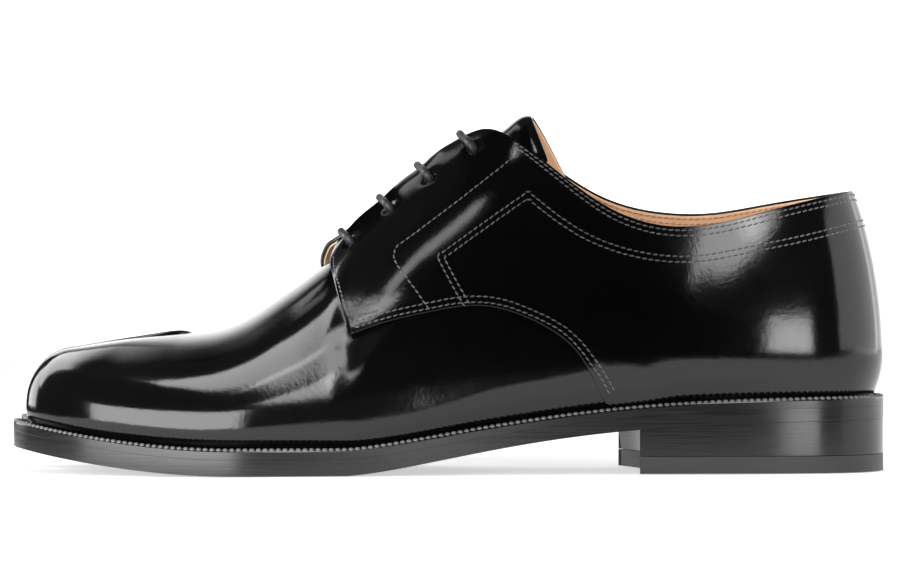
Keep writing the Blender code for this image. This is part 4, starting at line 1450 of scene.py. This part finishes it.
toe_glow = studio_plane(
    "toe_glow", [(x, TOE_GLOW_Y, z) for x, z in TOE_GLOW_OUTLINE], PALE, 3.5, TOE_GLOW_FADES
)
toe_glow.visible_camera = False
toe_glow.visible_diffuse = False
toe_glow.visible_shadow = False

# Black cards: flocked card on stands beside the shoe, out of the picture. They keep the light off the quarter,
# the facing and the front of the throat, which stay deep black.
FLAG_Y = -0.1
FLAG_OUTLINE = (
    (-0.022, 0.037), (0.118, 0.029), (0.118, 0.055), (0.092, 0.07), (0.086, 0.165), (0.07, 0.3), (-0.04, 0.3),
    (-0.04, 0.2), (-0.004, 0.18), (-0.004, 0.15), (-0.034, 0.136), (-0.034, 0.118), (-0.022, 0.105),
    (-0.022, 0.085), (-0.0262, 0.078), (-0.0262, 0.042),
)


def black_card(name, corners):
    """A card in black flock on a stand, which keeps the light off one part of the leather."""
    finish = Finish(name, (0.002, 0.002, 0.002), 1.0)
    finish.wire("Normal", finish.bump(finish.noise(900.0), 0.0005))
    finish.set(Specular_IOR_Level=0.0)
    mesh = bpy.data.meshes.new(name)
    mesh.from_pydata(corners, [], [tuple(range(len(corners)))])
    card = new_piece(name, mesh, finish.material)
    card.visible_camera = False


THROAT_CARD_Y = 0.075
THROAT_CARD = (
    (-0.043, 0.069), (-0.022, 0.094), (-0.05, 0.135), (-0.09, 0.19), (-0.12, 0.23), (-0.13, 0.19),
    (-0.1, 0.152), (-0.068, 0.112),
)
TOP_CARD_Z = 0.3
TOP_CARD = ((-0.1, -0.13), (-0.012, -0.13), (-0.012, 0.06), (-0.1, 0.06))
black_card("quarter_card", [(x, FLAG_Y, z) for x, z in FLAG_OUTLINE])
black_card("facing_card", [(x, y, TOP_CARD_Z) for x, y in TOP_CARD])
black_card("throat_card", [(x, THROAT_CARD_Y, z) for x, z in THROAT_CARD])

# Boxes of light: flat soft boxes round the shoe. The long key strip lies over the outer side, low boxes light the
# edge of the sole, and a small one fills the collar without a reflection of its own.


def softbox(name, middle, across, along, glow):
    """A flat box of light around a middle point, spanned by two vectors in metres and turned to the shoe."""
    light = bpy.data.lights.new(name, "AREA")
    light.shape = "RECTANGLE"
    across, along, middle = Vector(across), Vector(along), Vector(middle)
    light.size = across.length
    light.size_y = along.length
    light.energy = glow * math.pi * across.length * along.length
    if across.cross(along).dot(middle) < 0:
        across = -across
    axes = Matrix((across.normalized(), along.normalized(), across.cross(along).normalized())).transposed()
    lamp = bpy.data.objects.new(name, light)
    lamp.matrix_world = Matrix.Translation(middle) @ axes.to_4x4()
    lamp.visible_camera = False
    bpy.context.scene.collection.objects.link(lamp)
    return lamp


softbox("key_strip", (0.169, -1.653, 1.484), (1.515, -3.643, -0.011), (-0.317, -0.132, 0.055), 6.5)
softbox("toe_panel", (-1.27, 0.8, 0.64), (0.32, 0.51, 0.0), (0.0, 0.0, 1.28), 4.5)
softbox("facing_box", (-0.105, -0.265, 0.381), (0.038, -0.017, 0.0), (0.0, 0.042, 0.034), 4.5)
softbox("low_left", (-0.626, -0.904, 0.13), (1.121, -0.777, 0.0), (0.0, 0.0, 0.66), 8.0)
softbox("low_right", (0.645, -1.13, 0.0625), (0.29, 0.165, 0.0), (0.0, 0.0, 0.195), 9.0)
softbox("heel_box", (0.304, -1.355, 0.746), (0.312, 0.205, 0.303), (-0.36, 0.099, 0.303), 6.5)
softbox("heel_wall", (1.3, 0.2, 0.35), (0.0, 2.0, 0.0), (0.0, 0.0, 0.7), 1.7)
collar_fill = softbox("collar_fill", (0.07, -0.08, 0.19), (0.12, 0.0, 0.0), (0.0, 0.03, 0.03), 9.0)
collar_fill.visible_glossy = False

world = bpy.data.worlds.new("studio")
world.use_nodes = True
world.node_tree.nodes["Background"].inputs["Color"].default_value = (0.9, 0.95, 1.0, 1)
world.node_tree.nodes["Background"].inputs["Strength"].default_value = 0.045
bpy.context.scene.world = world
bpy.context.scene.view_settings.view_transform = "Standard"
